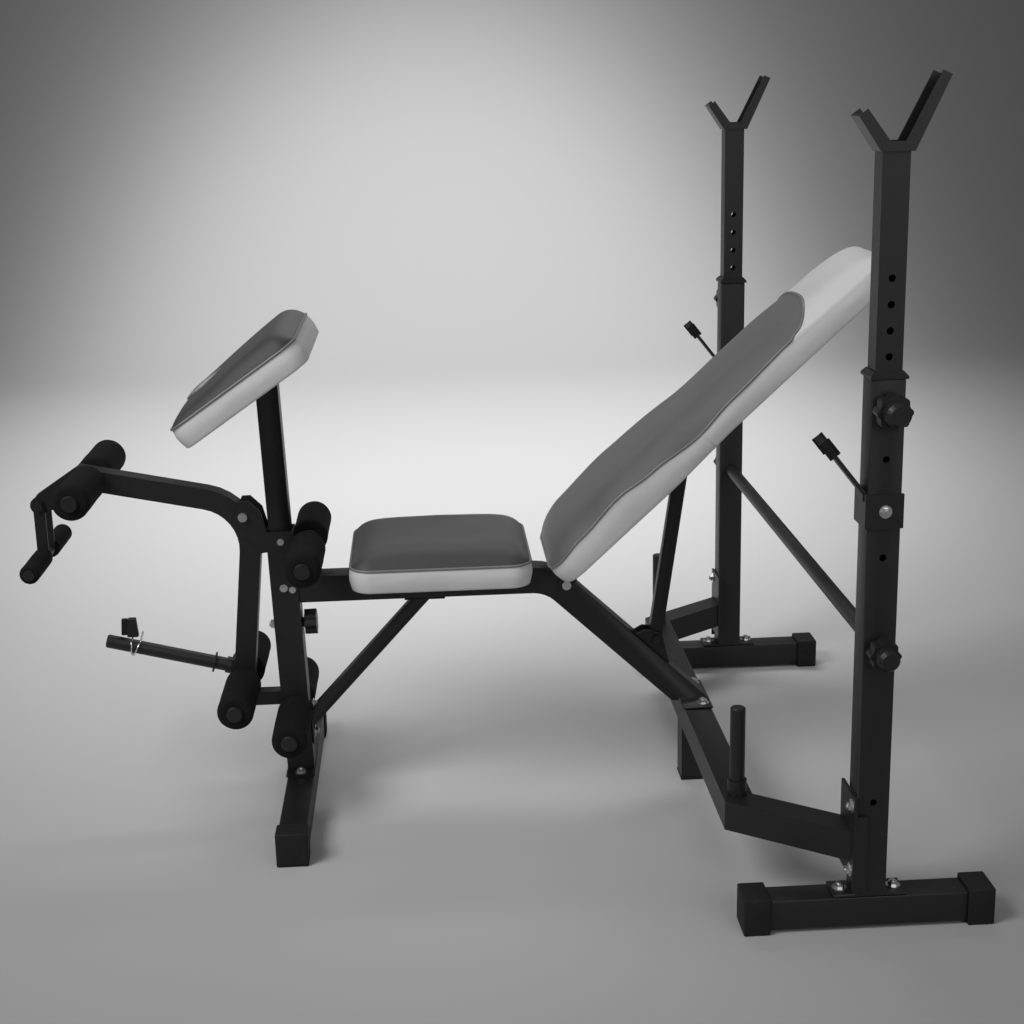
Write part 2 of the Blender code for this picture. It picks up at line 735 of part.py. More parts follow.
def rodAndRollers(word, x, z, parent):
    """A rod across the bench with an end plug and a foam roller on each side."""
    tip = rodHalf
    plug = rodRadius + 0.0035
    profile = [(0, 0), (0, plug - 0.002), (0.003, plug), (0.007, plug), (0.007, rodRadius),
               (2 * tip - 0.007, rodRadius), (2 * tip - 0.007, plug), (2 * tip - 0.003, plug),
               (2 * tip, plug - 0.002), (2 * tip, 0)]
    add(f"{word}_rod", turned(profile, (x, -tip, z), (0, 1, 0)), paint(), parent)
    for side, name in ((-1, "near"), (1, "far")):
        start = rollerInner if side > 0 else -rollerInner - rollerLength
        axis = axisEmpty(f"{word}_{name}_roller_axis", (x, start + rollerLength / 2, z), parent)
        add(f"{word}_{name}_roller",
            sleeve((x, start, z), (0, 1, 0), rollerLength, rollerRadius, rodRadius + runGap),
            foam(), axis.name)


# ---------- seat, backrest and curl pad ----------

def seat():
    low = beamTop + gap

    def outline(inset, radius):
        return roundedOutline(seatFront + inset, seatRear - inset, -seatHalf + inset,
                              seatHalf - inset, radius)

    add("seat_board", prism(outline(boardInset, 0.030), low, low + boardThick, "Z"), plywood())
    pocket = prism(outline(boardInset - gap, 0.030), low - 0.01, low + boardThick + gap, "Z")
    add("seat_pad", drilled(cushion(outline(0.0, 0.038), low, seatThick), pocket), vinyl())


def cushion(outline, low, thick):
    """A plain padded block: an upright border and a crowned top."""
    mesh = bmesh.new()
    centre = Vector((sum(a for a, _ in outline), sum(b for _, b in outline), 0)) / len(outline)
    levels = ((1.0, 0.0), (1.0, 0.58), (0.95, 0.82), (0.83, 0.95), (0.6, 1.0))
    rings = []
    for shrink, up in levels:
        ring = []
        for a, b in outline:
            spot = centre + (Vector((a, b, 0)) - centre) * shrink
            ring.append(mesh.verts.new((spot.x, spot.y, low + thick * up)))
        rings.append(ring)
    mesh.faces.new(rings[0])
    mesh.faces.new(rings[-1])
    count = len(outline)
    for p, q in zip(rings, rings[1:]):
        for i in range(count):
            j = (i + 1) % count
            mesh.faces.new((p[i], p[j], q[j], q[i]))
    bmesh.ops.recalc_face_normals(mesh, faces=mesh.faces)
    return mesh


def backOutline(inset):
    """Half width of the backrest falls smoothly from the lumbar end to the waist."""
    first, last = backStart + inset, backStart + backLength - inset
    radius = 0.045
    near = []
    steps = 12
    for i in range(steps + 1):
        part = i / steps
        s = first + radius + (last - first - 2 * radius) * part
        ease = min(1.0, max(0.0, (s - 0.26) / 0.17))
        ease = ease * ease * (3 - 2 * ease)
        near.append((s, backHalf + (backWaist - backHalf) * ease - inset))
    outline = near + arc((last - radius, near[-1][1] - radius), radius, 90, 0, 5)[1:]
    back = arc((first + radius, near[0][1] - radius), radius, 180, 90, 5)[:-1]
    half = back + outline
    return half + [(a, -b) for a, b in half[::-1]]


def backrest():
    """Everything here is drawn level, from the hinge along +X, and the empty tilts it to its rest angle."""
    axisEmpty("backrest_axis", (hingeX, 0, hingeZ), "bench", -restAngle)
    parent = "backrest_axis"
    railAt = outerTube / 2 + runGap
    lug = [(0.015 * math.cos(a), 0.015 * math.sin(a))
           for a in (math.radians(15 * k) for k in range(24))]
    rail = hull(lug + [(0.034, 0.001), (0.034, railTop - 0.001)])
    bar = [(0.020, railTop - gap - railHeight), (0.52, railTop - gap - railHeight),
           (0.52, railTop - gap), (0.020, railTop - gap)]
    parts = []
    for side in (-1, 1):
        low, high = sorted((side * railAt, side * (railAt + railThick)))
        parts += [prism(rail, low, high), prism(bar, low + 0.0001, high - 0.0001)]
    for s in (0.085, 0.500):
        parts.append(box(s, s + 0.045, -0.100, 0.100, railTop - gap - 0.0035, railTop - gap - 0.0004))
    drill = rod((0, -0.05, 0), (0, 0.05, 0), 0.005 + gap, 16)
    add("back_frame", drilled(welded(*parts), drill), paint(), parent)
    add("back_board", prism(backOutline(boardInset), railTop, railTop + boardThick, "Z"),
        plywood(), parent)
    pocket = prism(backOutline(boardInset - gap), railTop - 0.01, railTop + boardThick + gap, "Z")
    add("back_pad", drilled(cushion(backOutline(0.0), railTop, backPadThick), pocket),
        vinyl(), parent)
    half = railAt + railThick + gap
    add("back_hinge_bolt", throughBolt(hingeX, hingeZ, half), zinc())

    # Strut with a cross pin that carries the rails
    pinDrop = railTop - gap - railHeight - 0.0065
    length = strutLength(pinDrop)
    axisEmpty("strut_axis", (strutFootX, 0, strutFootZ), "bench", -strutAngle)
    tube = swept([(-0.009, 0, 0), (length + 0.010, 0, 0)], strutTube, strutTube, wall)
    pin = rod((length, -0.038, 0), (length, 0.038, 0), 0.006, 16)
    hole = rod((0, -0.05, 0), (0, 0.05, 0), 0.004 + runGap, 16)
    add("back_strut", drilled(welded(tube, pin), hole), paint(), "strut_axis")


def strutLength(pinDrop):
    """From the strut's bolt to its pin, where the strut's line meets the rails' lower edges."""
    normal = Vector((-math.sin(restAngle), math.cos(restAngle)))
    along = Vector((math.cos(strutAngle), math.sin(strutAngle)))
    foot = Vector((strutFootX - hingeX, strutFootZ - hingeZ))
    return (pinDrop - foot.dot(normal)) / along.dot(normal)


def curlPad():
    slope = Vector((math.cos(curlAngle), 0, math.sin(curlAngle)))
    normal = Vector((-math.sin(curlAngle), 0, math.cos(curlAngle)))
    origin = Vector((curlX, 0, curlZ))
    axisEmpty("curl_post_axis", leanedPoint(post, postTop), "bench")
    half = innerTube / 2
    tube = leaned(swept([(post, 0, curlBottom), (post, 0, 0.93)], innerTube, innerTube, wall))
    seatAt = origin - normal * 0.0053
    corners = [seatAt - slope * 0.2, seatAt + slope * 0.2, seatAt + slope * 0.2 + normal * 0.3,
               seatAt - slope * 0.2 + normal * 0.3]
    cutter = prism([(c.x, c.z) for c in corners], -0.1, 0.1)
    plateLow = seatAt - normal * 0.001
    plate = prism([(p.x, p.z) for p in (plateLow - slope * 0.048, plateLow + slope * 0.085,
                                        plateLow + slope * 0.085 + normal * 0.006,
                                        plateLow - slope * 0.048 + normal * 0.006)], -0.045, 0.045)
    drain = leaned(rod((post, 0, curlZ - 0.06), (post, 0, curlZ + 0.06), 0.006, 12))
    holes = [leaned(rod((post - 0.05, 0, z), (post + 0.05, 0, z), holeRadius, 12))
             for z in (curlKnobZ - i * holePitch for i in range(3))]
    tube = drilled(welded(drilled(tube, cutter), plate), drain, *holes)
    add("curl_post", tube, paint(), "curl_post_axis")

    axisEmpty("curl_pad_axis", origin, "curl_post_axis", -curlAngle)

    def outline(inset):
        across = curlHalf - inset
        low, high = curlFirst + inset, curlLast - inset
        points = []
        for cx, cy, first, radius in ((high, across, 0, 0.050), (low, across, 90, 0.022),
                                      (low, -across, 180, 0.022), (high, -across, 270, 0.050)):
            inX = cx - math.copysign(radius, cx)
            inY = cy - math.copysign(radius, cy)
            points += arc((inX, inY), radius, first, first + 90, 5)
        return points

    slot = roundedOutline(-0.128, -0.058, -0.050, 0.050, 0.034)
    wide = roundedOutline(-0.131, -0.055, -0.053, 0.053, 0.036)
    board = drilled(prism(outline(boardInset), 0, boardThick, "Z"), prism(wide, -0.02, 0.03, "Z"))
    add("curl_board", board, plywood(), "curl_pad_axis")
    pad = drilled(cushion(outline(0.0), 0.0, curlThick),
                  drilled(prism(outline(boardInset - gap), -0.01, boardThick + gap, "Z"),
                          prism(roundedOutline(-0.1307, -0.0553, -0.0527, 0.0527, 0.036), -0.02, 0.03, "Z")),
                  prism(slot, -0.02, 0.10, "Z"))
    add("curl_pad", pad, vinyl(), "curl_pad_axis")

    # Locking knob at the back of the post: its tip stops just short of the curl post
    faceX = post + outerTube / 2
    axisEmpty("curl_knob_axis", leanedPoint(faceX, curlKnobZ), "bench")
    reach = outerTube / 2 - half - gap
    knob = lobedKnob(0, 0, 0, 1, 0.0245, reach, 0.005, 0.022, 0)
    knob.transform(Matrix.Translation((faceX, 0, curlKnobZ)) @ Matrix.Rotation(-math.pi / 2, 4, "Z"))
    add("curl_knob", leaned(knob), plastic(), "curl_knob_axis")


# ---------- leg developer ----------

def armPath(lower, upper, steps=8):
    """The developer tube's middle line, from its lower end round the bend to its upper end."""
    corner = Vector((armCornerX, 0, armCornerZ))
    down = Vector((-math.sin(armLean), 0, -math.cos(armLean)))
    out = Vector((-math.cos(armRise), 0, math.sin(armRise)))
    turn = math.acos(-down.dot(out))
    reach = armBend * math.tan(turn / 2)
    centre = corner + (down + out).normalized() * (armBend / math.cos(turn / 2))
    first = corner + down * reach - centre
    last = corner + out * reach - centre
    path = [corner + down * lower]
    for k in range(steps + 1):
        part = k / steps
        path.append(centre + (first * math.sin((1 - part) * turn)
                              + last * math.sin(part * turn)) / math.sin(turn))
    path.append(corner + out * upper)
    return path, corner, down, out


def developer():
    path, corner, down, out = armPath(armLower, armUpper)
    axisEmpty("developer_axis", (pivotX, 0, pivotZ), "bench")
    parent = "developer_axis"
    half = developerTube / 2
    tube = swept(path, developerTube, developerTube, wall)
    upperRod = corner + out * upperRodAlong
    lowerRod = corner + down * lowerRodAlong
    up = Vector((out.z, 0, -out.x))
    root = [corner + out * a + up * b for a, b in ((0.275, -0.0185), (0.275, 0.0185),
                                                   (0.318, 0.0185), (0.318, -0.0185))]
    outline = hull([(p.x, p.z) for p in root]
                   + arc((linkX, linkZ), 0.016, 0, 360, 20))
    horns = [prism(outline, *sorted((s * (half - 0.0006), s * (half + 0.003)))) for s in (-1, 1)]
    stopLow = corner + down * (armLower - 0.022)
    stopEnd = leanedPoint(post - outerTube / 2 - gap, stopBottom + 0.013).x
    stop = box(stopLow.x + half - 0.003, stopEnd, -0.013, 0.013,
               stopBottom - 0.013, stopBottom + 0.013)
    holes = [
        rod((upperRod.x, -0.05, upperRod.z), (upperRod.x, 0.05, upperRod.z), rodRadius + gap),
        rod((lowerRod.x, -0.05, lowerRod.z), (lowerRod.x, 0.05, lowerRod.z), rodRadius + gap),
        rod((pivotX, -0.05, pivotZ), (pivotX, 0.05, pivotZ), 0.005 + runGap, 16),
        rod((linkX, -0.05, linkZ), (linkX, 0.05, linkZ), 0.005 + runGap, 16),
    ]
    arm = drilled(welded(tube, horns[0], horns[1], stop), *holes)
    add("developer_arm", arm, paint(), parent)
    rodAndRollers("developer_upper", upperRod.x, upperRod.z, parent)
    rodAndRollers("developer_lower", lowerRod.x, lowerRod.z, parent)

    # Plate peg on the front of the lower arm, with its stop ring
    base = corner + down * weightPegAlong
    front = Vector((-math.cos(armLean), 0, math.sin(armLean)))
    start = base + front * (half + gap)
    direction = Vector((-math.cos(weightPegRise), 0, math.sin(weightPegRise)))
    foot = swept([start, start + front * 0.006], 0.034, 0.034)
    profile = [(0.001, 0), (0.001, 0.0155), (0.014, 0.0155), (0.014, pegRadius), (0.034, pegRadius),
               (0.034, 0.019), (0.037, 0.019), (0.037, pegRadius),
               (weightPegLength - 0.002, pegRadius), (weightPegLength, pegRadius - 0.002),
               (weightPegLength, 0)]
    add("weight_peg", welded(foot, turned(profile, start + front * 0.003, direction)),
        paint(), parent)

    # Spring collar that slides on the peg
    seatAt = start + direction * collarAlong
    axisEmpty("collar_axis", seatAt, parent)
    ring = sleeve(seatAt - direction * 0.005, direction, 0.010, 0.0175, pegRadius + runGap)
    grips = []
    for x0, x1, y0, y1, low, high in ((-0.010, 0.011, -0.016, -0.003, 0.024, 0.060),
                                      (-0.024, -0.008, 0.003, 0.012, 0.022, 0.054)):
        middle = (y0 + y1) / 2
        foot = seatAt + Vector((0, middle * 0.6, 0.0145))
        neck = seatAt + Vector(((x0 + x1) / 2, middle, low + 0.004))
        grips += [rod(foot, neck, 0.0022, 10),
                  box(seatAt.x + x0, seatAt.x + x1, y0, y1, seatAt.z + low, seatAt.z + high)]
    add("spring_collar", welded(ring, *grips), plastic(), "collar_axis")

    # Curl handle: two flat bars on the horns, a cross rod and two foam grips
    axisEmpty("handle_axis", (linkX, 0, linkZ), parent)
    rodZ = linkZ - linkLength
    barOutline = hull(arc((linkX, linkZ), 0.0102, 0, 180, 8)
                      + arc((linkX, rodZ), 0.0102, 180, 360, 8))
    at = half + 0.003 + runGap
    bars = [prism(barOutline, *sorted((s * at, s * (at + 0.003)))) for s in (-1, 1)]
    grip = at + 0.003 + gap
    cross = rod((linkX, -grip - gripLength - 0.004, rodZ), (linkX, grip + gripLength + 0.004, rodZ),
                0.010)
    pin = throughBolt(linkX, linkZ, at + 0.0029)
    add("curl_handle", welded(bars[0], bars[1], cross, pin), paint(), "handle_axis")
    for word, side in (("near", -1), ("far", 1)):
        start = grip if side > 0 else -grip - gripLength
        add(f"{word}_grip", sleeve((linkX, start, rodZ), (0, 1, 0), gripLength, gripRadius,
                                   0.010 + gap), foam(), "handle_axis")


def build():
    for thing in list(bpy.data.objects):
        bpy.data.objects.remove(thing)
    front = linkX - gripRadius
    axisEmpty("bench", (0, 0, 0))
    rackSide("near", -1)
    rackSide("far", 1)
    lateralBrace()
    crossbar()
    mainBeam()
    frontPost()
    seat()
    backrest()
    curlPad()
    developer()
    bpy.data.objects["bench"].location.x = -(front + footHalf) / 2
    bpy.context.view_layer.update()


build()
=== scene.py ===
import bpy, bmesh, json, math
from mathutils import Matrix, Vector, noise

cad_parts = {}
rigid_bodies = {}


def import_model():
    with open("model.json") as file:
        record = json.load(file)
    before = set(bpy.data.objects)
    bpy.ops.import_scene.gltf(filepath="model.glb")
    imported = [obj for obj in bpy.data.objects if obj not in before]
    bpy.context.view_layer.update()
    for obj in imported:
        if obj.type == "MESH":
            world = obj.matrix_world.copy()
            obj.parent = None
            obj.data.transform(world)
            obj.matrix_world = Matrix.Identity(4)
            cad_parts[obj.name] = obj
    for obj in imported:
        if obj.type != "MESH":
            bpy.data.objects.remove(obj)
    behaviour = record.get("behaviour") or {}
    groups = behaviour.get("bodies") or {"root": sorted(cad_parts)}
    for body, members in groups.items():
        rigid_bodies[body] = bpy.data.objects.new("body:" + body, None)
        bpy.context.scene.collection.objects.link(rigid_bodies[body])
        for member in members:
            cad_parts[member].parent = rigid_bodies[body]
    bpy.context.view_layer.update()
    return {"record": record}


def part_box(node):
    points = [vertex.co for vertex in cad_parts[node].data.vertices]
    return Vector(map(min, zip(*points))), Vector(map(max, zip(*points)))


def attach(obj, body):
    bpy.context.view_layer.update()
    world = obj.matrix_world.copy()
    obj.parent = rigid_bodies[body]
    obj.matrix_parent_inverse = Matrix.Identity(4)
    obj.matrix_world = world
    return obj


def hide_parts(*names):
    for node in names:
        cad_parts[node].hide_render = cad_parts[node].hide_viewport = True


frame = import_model()
rackX = 0.592           # the rack uprights' place in the shared frame
print("frame loaded")

camera = dict(place=(-0.66641 + rackX, -2.85399, 1.30190), lens=56.45,
              yaw=0.052755, pitch=0.260608, roll=0.023967)


def makeCamera():
    yaw, pitch, roll = camera["yaw"], camera["pitch"], camera["roll"]
    forward = Vector((math.sin(yaw) * math.cos(pitch), math.cos(yaw) * math.cos(pitch), -math.sin(pitch)))
    right = Vector((math.cos(yaw), -math.sin(yaw), 0))
    down = forward.cross(right)
    level = right * math.cos(roll) + down * math.sin(roll)
    below = down * math.cos(roll) - right * math.sin(roll)
    turn = Matrix((level, -below, -forward)).transposed()
    data = bpy.data.cameras.new("benchCamera")
    data.lens, data.sensor_width = camera["lens"], 36
    made = bpy.data.objects.new("benchCamera", data)
    made.matrix_world = Matrix.Translation(camera["place"]) @ turn.to_4x4()
    bpy.context.scene.collection.objects.link(made)
    bpy.context.scene.camera = made


makeCamera()


# shader maths: a wire is a socket that can be added, multiplied and so on
class Wire:
    def __init__(self, paint, socket):
        self.paint, self.socket = paint, socket

    def math(self, operation, first, second=0.0):
        return self.paint.node("ShaderNodeMath", dict(operation=operation), {0: first, 1: second})

    def __add__(self, other):
        return self.math("ADD", self, other)

    def __radd__(self, other):
        return self.math("ADD", other, self)

    def __sub__(self, other):
        return self.math("SUBTRACT", self, other)

    def __rsub__(self, other):
        return self.math("SUBTRACT", other, self)

    def __mul__(self, other):
        return self.math("MULTIPLY", self, other)

    def __rmul__(self, other):
        return self.math("MULTIPLY", other, self)

    def __truediv__(self, other):
        return self.math("DIVIDE", self, other)

    def __rtruediv__(self, other):
        return self.math("DIVIDE", other, self)

    def __pow__(self, other):
        return self.math("POWER", self, other)

    def most(self, other):
        return self.math("MAXIMUM", self, other)

    def least(self, other):
        return self.math("MINIMUM", self, other)

    def size(self):
        return self.math("ABSOLUTE", self)


class Paint:
    def __init__(self, name, **fixed):
        self.material = bpy.data.materials.new(name)
        self.material.use_nodes = True
        self.tree = self.material.node_tree
        self.shader = self.tree.nodes["Principled BSDF"]
        for key, value in fixed.items():
            self.shader.inputs[key.replace("_", " ")].default_value = value
        self.place = self.node("ShaderNodeTexCoord", {}, {}, "Object")

    def node(self, kind, settings=None, inputs=None, out=0):
        made = self.tree.nodes.new(kind)
        for key, value in (settings or {}).items():
            if key == "stops":
                ramp = made.color_ramp
                for i, (at, shade) in enumerate(value):
                    stop = ramp.elements[i] if i < 2 else ramp.elements.new(at)
                    stop.position, stop.color = at, (shade, shade, shade, 1)
            else:
                setattr(made, key, value)
        for key, value in (inputs or {}).items():
            if isinstance(value, Wire):
                self.tree.links.new(value.socket, made.inputs[key])
            else:
                made.inputs[key].default_value = value
        return Wire(self, made.outputs[out])

    def noise(self, scale, detail=2.0, rough=0.5):
        return self.node("ShaderNodeTexNoise", {}, {"Vector": self.place, "Scale": scale, "Detail": detail,
                                                    "Roughness": rough}, "Fac")

    def cells(self, scale, feature="DISTANCE_TO_EDGE"):
        inputs = {"Vector": self.place, "Scale": scale}
        return self.node("ShaderNodeTexVoronoi", dict(feature=feature), inputs, "Distance")

    def ramp(self, value, *stops):
        return self.node("ShaderNodeValToRGB", dict(stops=stops), {"Fac": value})

    def mix(self, factor, first, second):
        return self.node("ShaderNodeMix", dict(data_type="RGBA"),
                         {0: factor, 6: first, 7: second}, 2)

    def bump(self, height, strength, distance):
        return self.node("ShaderNodeBump", {}, {"Height": height, "Strength": strength, "Distance": distance})

    def feed(self, **sockets):
        for key, value in sockets.items():
            self.tree.links.new(value.socket, self.shader.inputs[key.replace("_", " ")])
        return self.material


def grey(level, warm=0.0):
    return (level, level, level * (1 - warm), 1.0)


def powderCoat():
    coat = Paint("powderCoatedSteel", Specular_IOR_Level=0.42)
    grain = coat.noise(620, 3.0, 0.62)
    broad = coat.noise(7.0, 2.0)
    spark = coat.ramp(coat.noise(1500, 1.0), (0.60, 0.0), (0.74, 1.0))
    shade = coat.mix((grain * 1.3 - 0.25).most(0.0).least(1.0), grey(0.0045), grey(0.014))
    shade = coat.mix(spark * 0.28, shade, grey(0.12))
    rough = 0.31 + grain * 0.20 + broad * 0.07
    return coat.feed(Base_Color=shade, Roughness=rough, Normal=coat.bump(grain + spark * 0.4, 0.42, 0.0006))


def zincSteel():
    zinc = Paint("zincPlatedSteel", Metallic=1.0)
    cloud = zinc.noise(90, 3.0)
    shade = zinc.mix(cloud, grey(0.52), grey(0.78))
    return zinc.feed(Base_Color=shade, Roughness=0.2 + cloud * 0.2,
                     Normal=zinc.bump(zinc.noise(700), 0.15, 0.0003))


def brushedWire():
    wire = Paint("springWire", Metallic=1.0)
    streak = wire.noise(500, 2.0)
    return wire.feed(Base_Color=wire.mix(streak, grey(0.6), grey(0.85)), Roughness=0.16 + streak * 0.12)


def mouldedPlastic():
    plastic = Paint("mouldedPlastic", Specular_IOR_Level=0.3)
    grain = plastic.noise(900, 2.0)
    shade = plastic.mix(plastic.noise(30), grey(0.010), grey(0.018))
    return plastic.feed(Base_Color=shade, Roughness=0.34 + grain * 0.16,
                        Normal=plastic.bump(grain, 0.2, 0.0003))


def mouldedRubber():
    rubber = Paint("mouldedRubber", Specular_IOR_Level=0.25)
    grain = rubber.noise(420, 4.0, 0.7)
    scuff = rubber.ramp(rubber.noise(26, 4.0, 0.7), (0.55, 0.0), (0.80, 1.0))
    shade = rubber.mix(scuff * 0.5, grey(0.011), grey(0.035))
    return rubber.feed(Base_Color=shade, Roughness=0.58 + grain * 0.22,
                       Normal=rubber.bump(grain, 0.35, 0.0006))


def closedFoam():
    foam = Paint("closedCellFoam", Specular_IOR_Level=0.12)
    cells = foam.cells(520, "F1")
    dents = foam.noise(38, 3.0)
    shade = foam.mix(cells.least(1.0), grey(0.0065), grey(0.014))
    return foam.feed(Base_Color=shade, Roughness=0.84 + dents * 0.12,
                     Normal=foam.bump(cells + dents * 0.8, 0.55, 0.0012))


def stainedBoard():
    board = Paint("stainedBoard", Roughness=0.8)
    grain = board.node("ShaderNodeMapping", {}, {"Vector": board.place, "Scale": (6.0, 90.0, 90.0)})
    streak = board.node("ShaderNodeTexNoise", {}, {"Vector": grain, "Scale": 1.0, "Detail": 4.0})
    return board.feed(Base_Color=board.mix(streak, (0.05, 0.042, 0.034, 1), (0.12, 0.10, 0.08, 1)),
                      Roughness=0.7 + streak * 0.2, Normal=board.bump(streak, 0.3, 0.0008))


def vinylGrain(vinyl):
    creases = 1.0 - (vinyl.cells(430) * 6.0).least(1.0)
    return creases * -0.5 + vinyl.noise(800, 2.0) * 0.5 + vinyl.noise(16, 3.0) * 1.6


def silverVinyl():
    vinyl = Paint("silverVinyl", Sheen_Weight=0.12, Specular_IOR_Level=0.55)
    cloud = vinyl.noise(9, 3.0)
    shade = vinyl.mix(cloud, grey(0.56), grey(0.70))
    return vinyl.feed(Base_Color=shade, Roughness=0.34 + cloud * 0.16,
                      Normal=vinyl.bump(vinylGrain(vinyl), 0.30, 0.0011))


def pipingVinyl():
    vinyl = Paint("pipingVinyl", Specular_IOR_Level=0.6)
    cloud = vinyl.noise(60, 2.0)
    return vinyl.feed(Base_Color=vinyl.mix(cloud, grey(0.13), grey(0.21)), Roughness=0.30 + cloud * 0.14,
                      Normal=vinyl.bump(cloud, 0.2, 0.0006))


# dark top vinyl; with an insert it turns silver past the rounded end of the dark panel
def insertVinyl(name, low, high, insert=None):
    vinyl = Paint(name, Sheen_Weight=0.15, Specular_IOR_Level=0.45)
    cloud = vinyl.noise(7, 3.0)
    shade = vinyl.mix(cloud, grey(low), grey(high))
    if insert:
        plan = vinyl.node("ShaderNodeUVMap", dict(uv_map="plan"), {})
        parts = vinyl.tree.nodes.new("ShaderNodeSeparateXYZ")
        vinyl.tree.links.new(plan.socket, parts.inputs[0])
        along, across = Wire(vinyl, parts.outputs[0]), Wire(vinyl, parts.outputs[1])
        past = ((along - insert["start"]) / insert["reach"]).most(0.0) ** insert["power"]
        edge = (across.size() / insert["half"]) ** insert["power"]
        outside = ((past + edge - 1.0) * 30.0).most(0.0).least(1.0) * (past * 1000.0).least(1.0)
        shade = vinyl.mix(outside, shade, vinyl.mix(cloud, grey(0.56), grey(0.70)))
    return vinyl.feed(Base_Color=shade, Roughness=0.40 + cloud * 0.14,
                      Normal=vinyl.bump(vinylGrain(vinyl), 0.34, 0.0011))


steel, zinc, wireSteel = powderCoat(), zincSteel(), brushedWire()
plasticBlack, rubberBlack, foamBlack, board = mouldedPlastic(), mouldedRubber(), closedFoam(), stainedBoard()
silver, piping = silverVinyl(), pipingVinyl()
print("materials made")

finishes = dict(black_powder_coat=steel, zinc_plate=zinc, black_plastic=plasticBlack,
                black_rubber=rubberBlack, black_foam=foamBlack, silver_vinyl=silver, plywood=board)
for part in frame["record"]["subparts"]:
    node = bpy.data.objects[part["node"]]
    node.data.materials.clear()
    node.data.materials.append(finishes[part["material_slot"]])


def makeObject(name, mesh, *materials, smooth=35):
    data = bpy.data.meshes.new(name)
    bmesh.ops.recalc_face_normals(mesh, faces=mesh.faces)
    mesh.to_mesh(data)
    mesh.free()
    for material in materials:
        data.materials.append(material)
    data.shade_smooth()
    if smooth:
        data.set_sharp_from_angle(angle=math.radians(smooth))
    made = bpy.data.objects.new(name, data)
    bpy.context.scene.collection.objects.link(made)
    return made


def place(piece, body, slot, *nodes):
    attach(piece, body)
    if nodes:
        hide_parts(*nodes)
    return piece


def smoothStep(value):
    value = min(1.0, max(0.0, value))
    return value * value * (3 - 2 * value)


# a smooth curve through (place, value) pairs
def through(table, at):
    if at <= table[0][0]:
        return table[0][1]
    for (a, first), (b, second) in zip(table, table[1:]):
        if at <= b:
            return first + (second - first) * smoothStep((at - a) / (b - a))
    return table[-1][1]


# pads: along runs up the pad, across is Y, and height is measured from the underside
seatPad = dict(node="seat_pad", body="frame", origin=(rackX, 0, 0.4388), angle=0.0,
               first=-0.811, last=-0.491, half=lambda s: 0.150, corner=(0.038, 0.038),
               welt=lambda s: 0.0415, top=lambda s: 0.0715, shoulder=0.060, dome=0.003, bulge=0.0035,
               dark=(0.034, 0.050))
backWelt = [(0.012, 0.041), (0.095, 0.051), (0.190, 0.059), (0.263, 0.051), (0.371, 0.037), (0.456, 0.043),
            (0.596, 0.048), (0.731, 0.044), (0.810, 0.040)]
backTop = [(0.012, 0.064), (0.09, 0.075), (0.20, 0.080), (0.29, 0.078), (0.40, 0.074), (0.56, 0.073),
           (0.70, 0.066), (0.810, 0.058)]
# the back pad's dark top vinyl is set about two and a half times lighter than the seat's: painted light, for
# the brighter light its sloping top catches
backPad = dict(node="back_pad", body="backrest", origin=(rackX - 0.420, 0, 0.405), angle=42.4, lift=0.0246,
               first=0.012, last=0.810, half=lambda s: 0.140 - 0.022 * smoothStep((s - 0.26) / 0.17),
               corner=(0.045, 0.045), welt=lambda s: through(backWelt, s), top=lambda s: through(backTop, s),
               shoulder=0.062, dome=0.003, bulge=0.003, dark=(0.085, 0.125),
               insert=dict(start=0.600, reach=0.066, half=0.115, power=2.4))
curlRest = dict(node="curl_pad", body="curl_rest", origin=(rackX - 0.9491, 0, 0.7999), angle=34.15,
                first=-0.150, last=0.108, half=lambda s: 0.185, corner=(0.022, 0.036),
                welt=lambda s: 0.042, top=lambda s: 0.056 + 0.018 * smoothStep((s + 0.150) / 0.26),
                shoulder=0.038, dome=0.002, bulge=0.003, dark=(0.026, 0.040))


def padFrame(pad):
    turn = Matrix.Rotation(-math.radians(pad["angle"]), 4, "Y")
    return Matrix.Translation(pad["origin"]) @ turn @ Matrix.Translation((0, 0, pad.get("lift", 0.0)))


def padHalf(pad, s):
    wide = pad["half"](s)
    for radius, reach in ((pad["corner"][0], s - pad["first"]), (pad["corner"][1], pad["last"] - s)):
        if reach < radius:
            wide += math.sqrt(max(0.0, radius ** 2 - (radius - reach) ** 2)) - radius
    return wide


# height of the crowned top over the underside
def padHeight(pad, s, y):
    side = max(1e-5, padHalf(pad, s) - abs(y))
    end = max(1e-5, min(s - pad["first"], pad["last"] - s))
    away = 1 / math.sqrt(1 / side ** 2 + 1 / end ** 2)
    rise = 1 - (1 - min(1.0, away / pad["shoulder"])) ** 2.7
    low, high = pad["welt"](s), pad["top"](s)
    pucker = 0.0007 * math.sin(s * 260 + 1.3 * math.sin(s * 70)) * math.sin(y * 210) * math.exp(-away / 0.016)
    sway = 0.0012 * noise.noise(Vector((s * 14, y * 14, pad["angle"]))) * rise
    crown = pad["dome"] * rise * (1 - (y / pad["half"](s)) ** 2)
    return low + (high - low) * rise + crown + pucker * rise + sway


# the grid's rows along the pad, its spread across and the order of its edge
def padLoop(pad, rows, columns):
    length = pad["last"] - pad["first"]
    spots = []
    for i in range(rows + 1):
        t = i / rows
        eased = 0.45 * t + 0.55 * (0.5 - 0.5 * math.cos(math.pi * t))
        spots.append(pad["first"] + length * eased)
    spread = [math.sin(math.pi / 2 * (2 * j / columns - 1)) for j in range(columns + 1)]
    edge = [(0, j) for j in range(columns)] + [(i, columns) for i in range(rows)]
    edge += [(rows, j) for j in range(columns, 0, -1)] + [(i, 0) for i in range(rows, 0, -1)]
    return spots, spread, edge


pocket = dict(inset=0.0104, depth=0.0104)       # the recess in a pad's underside that its board fills


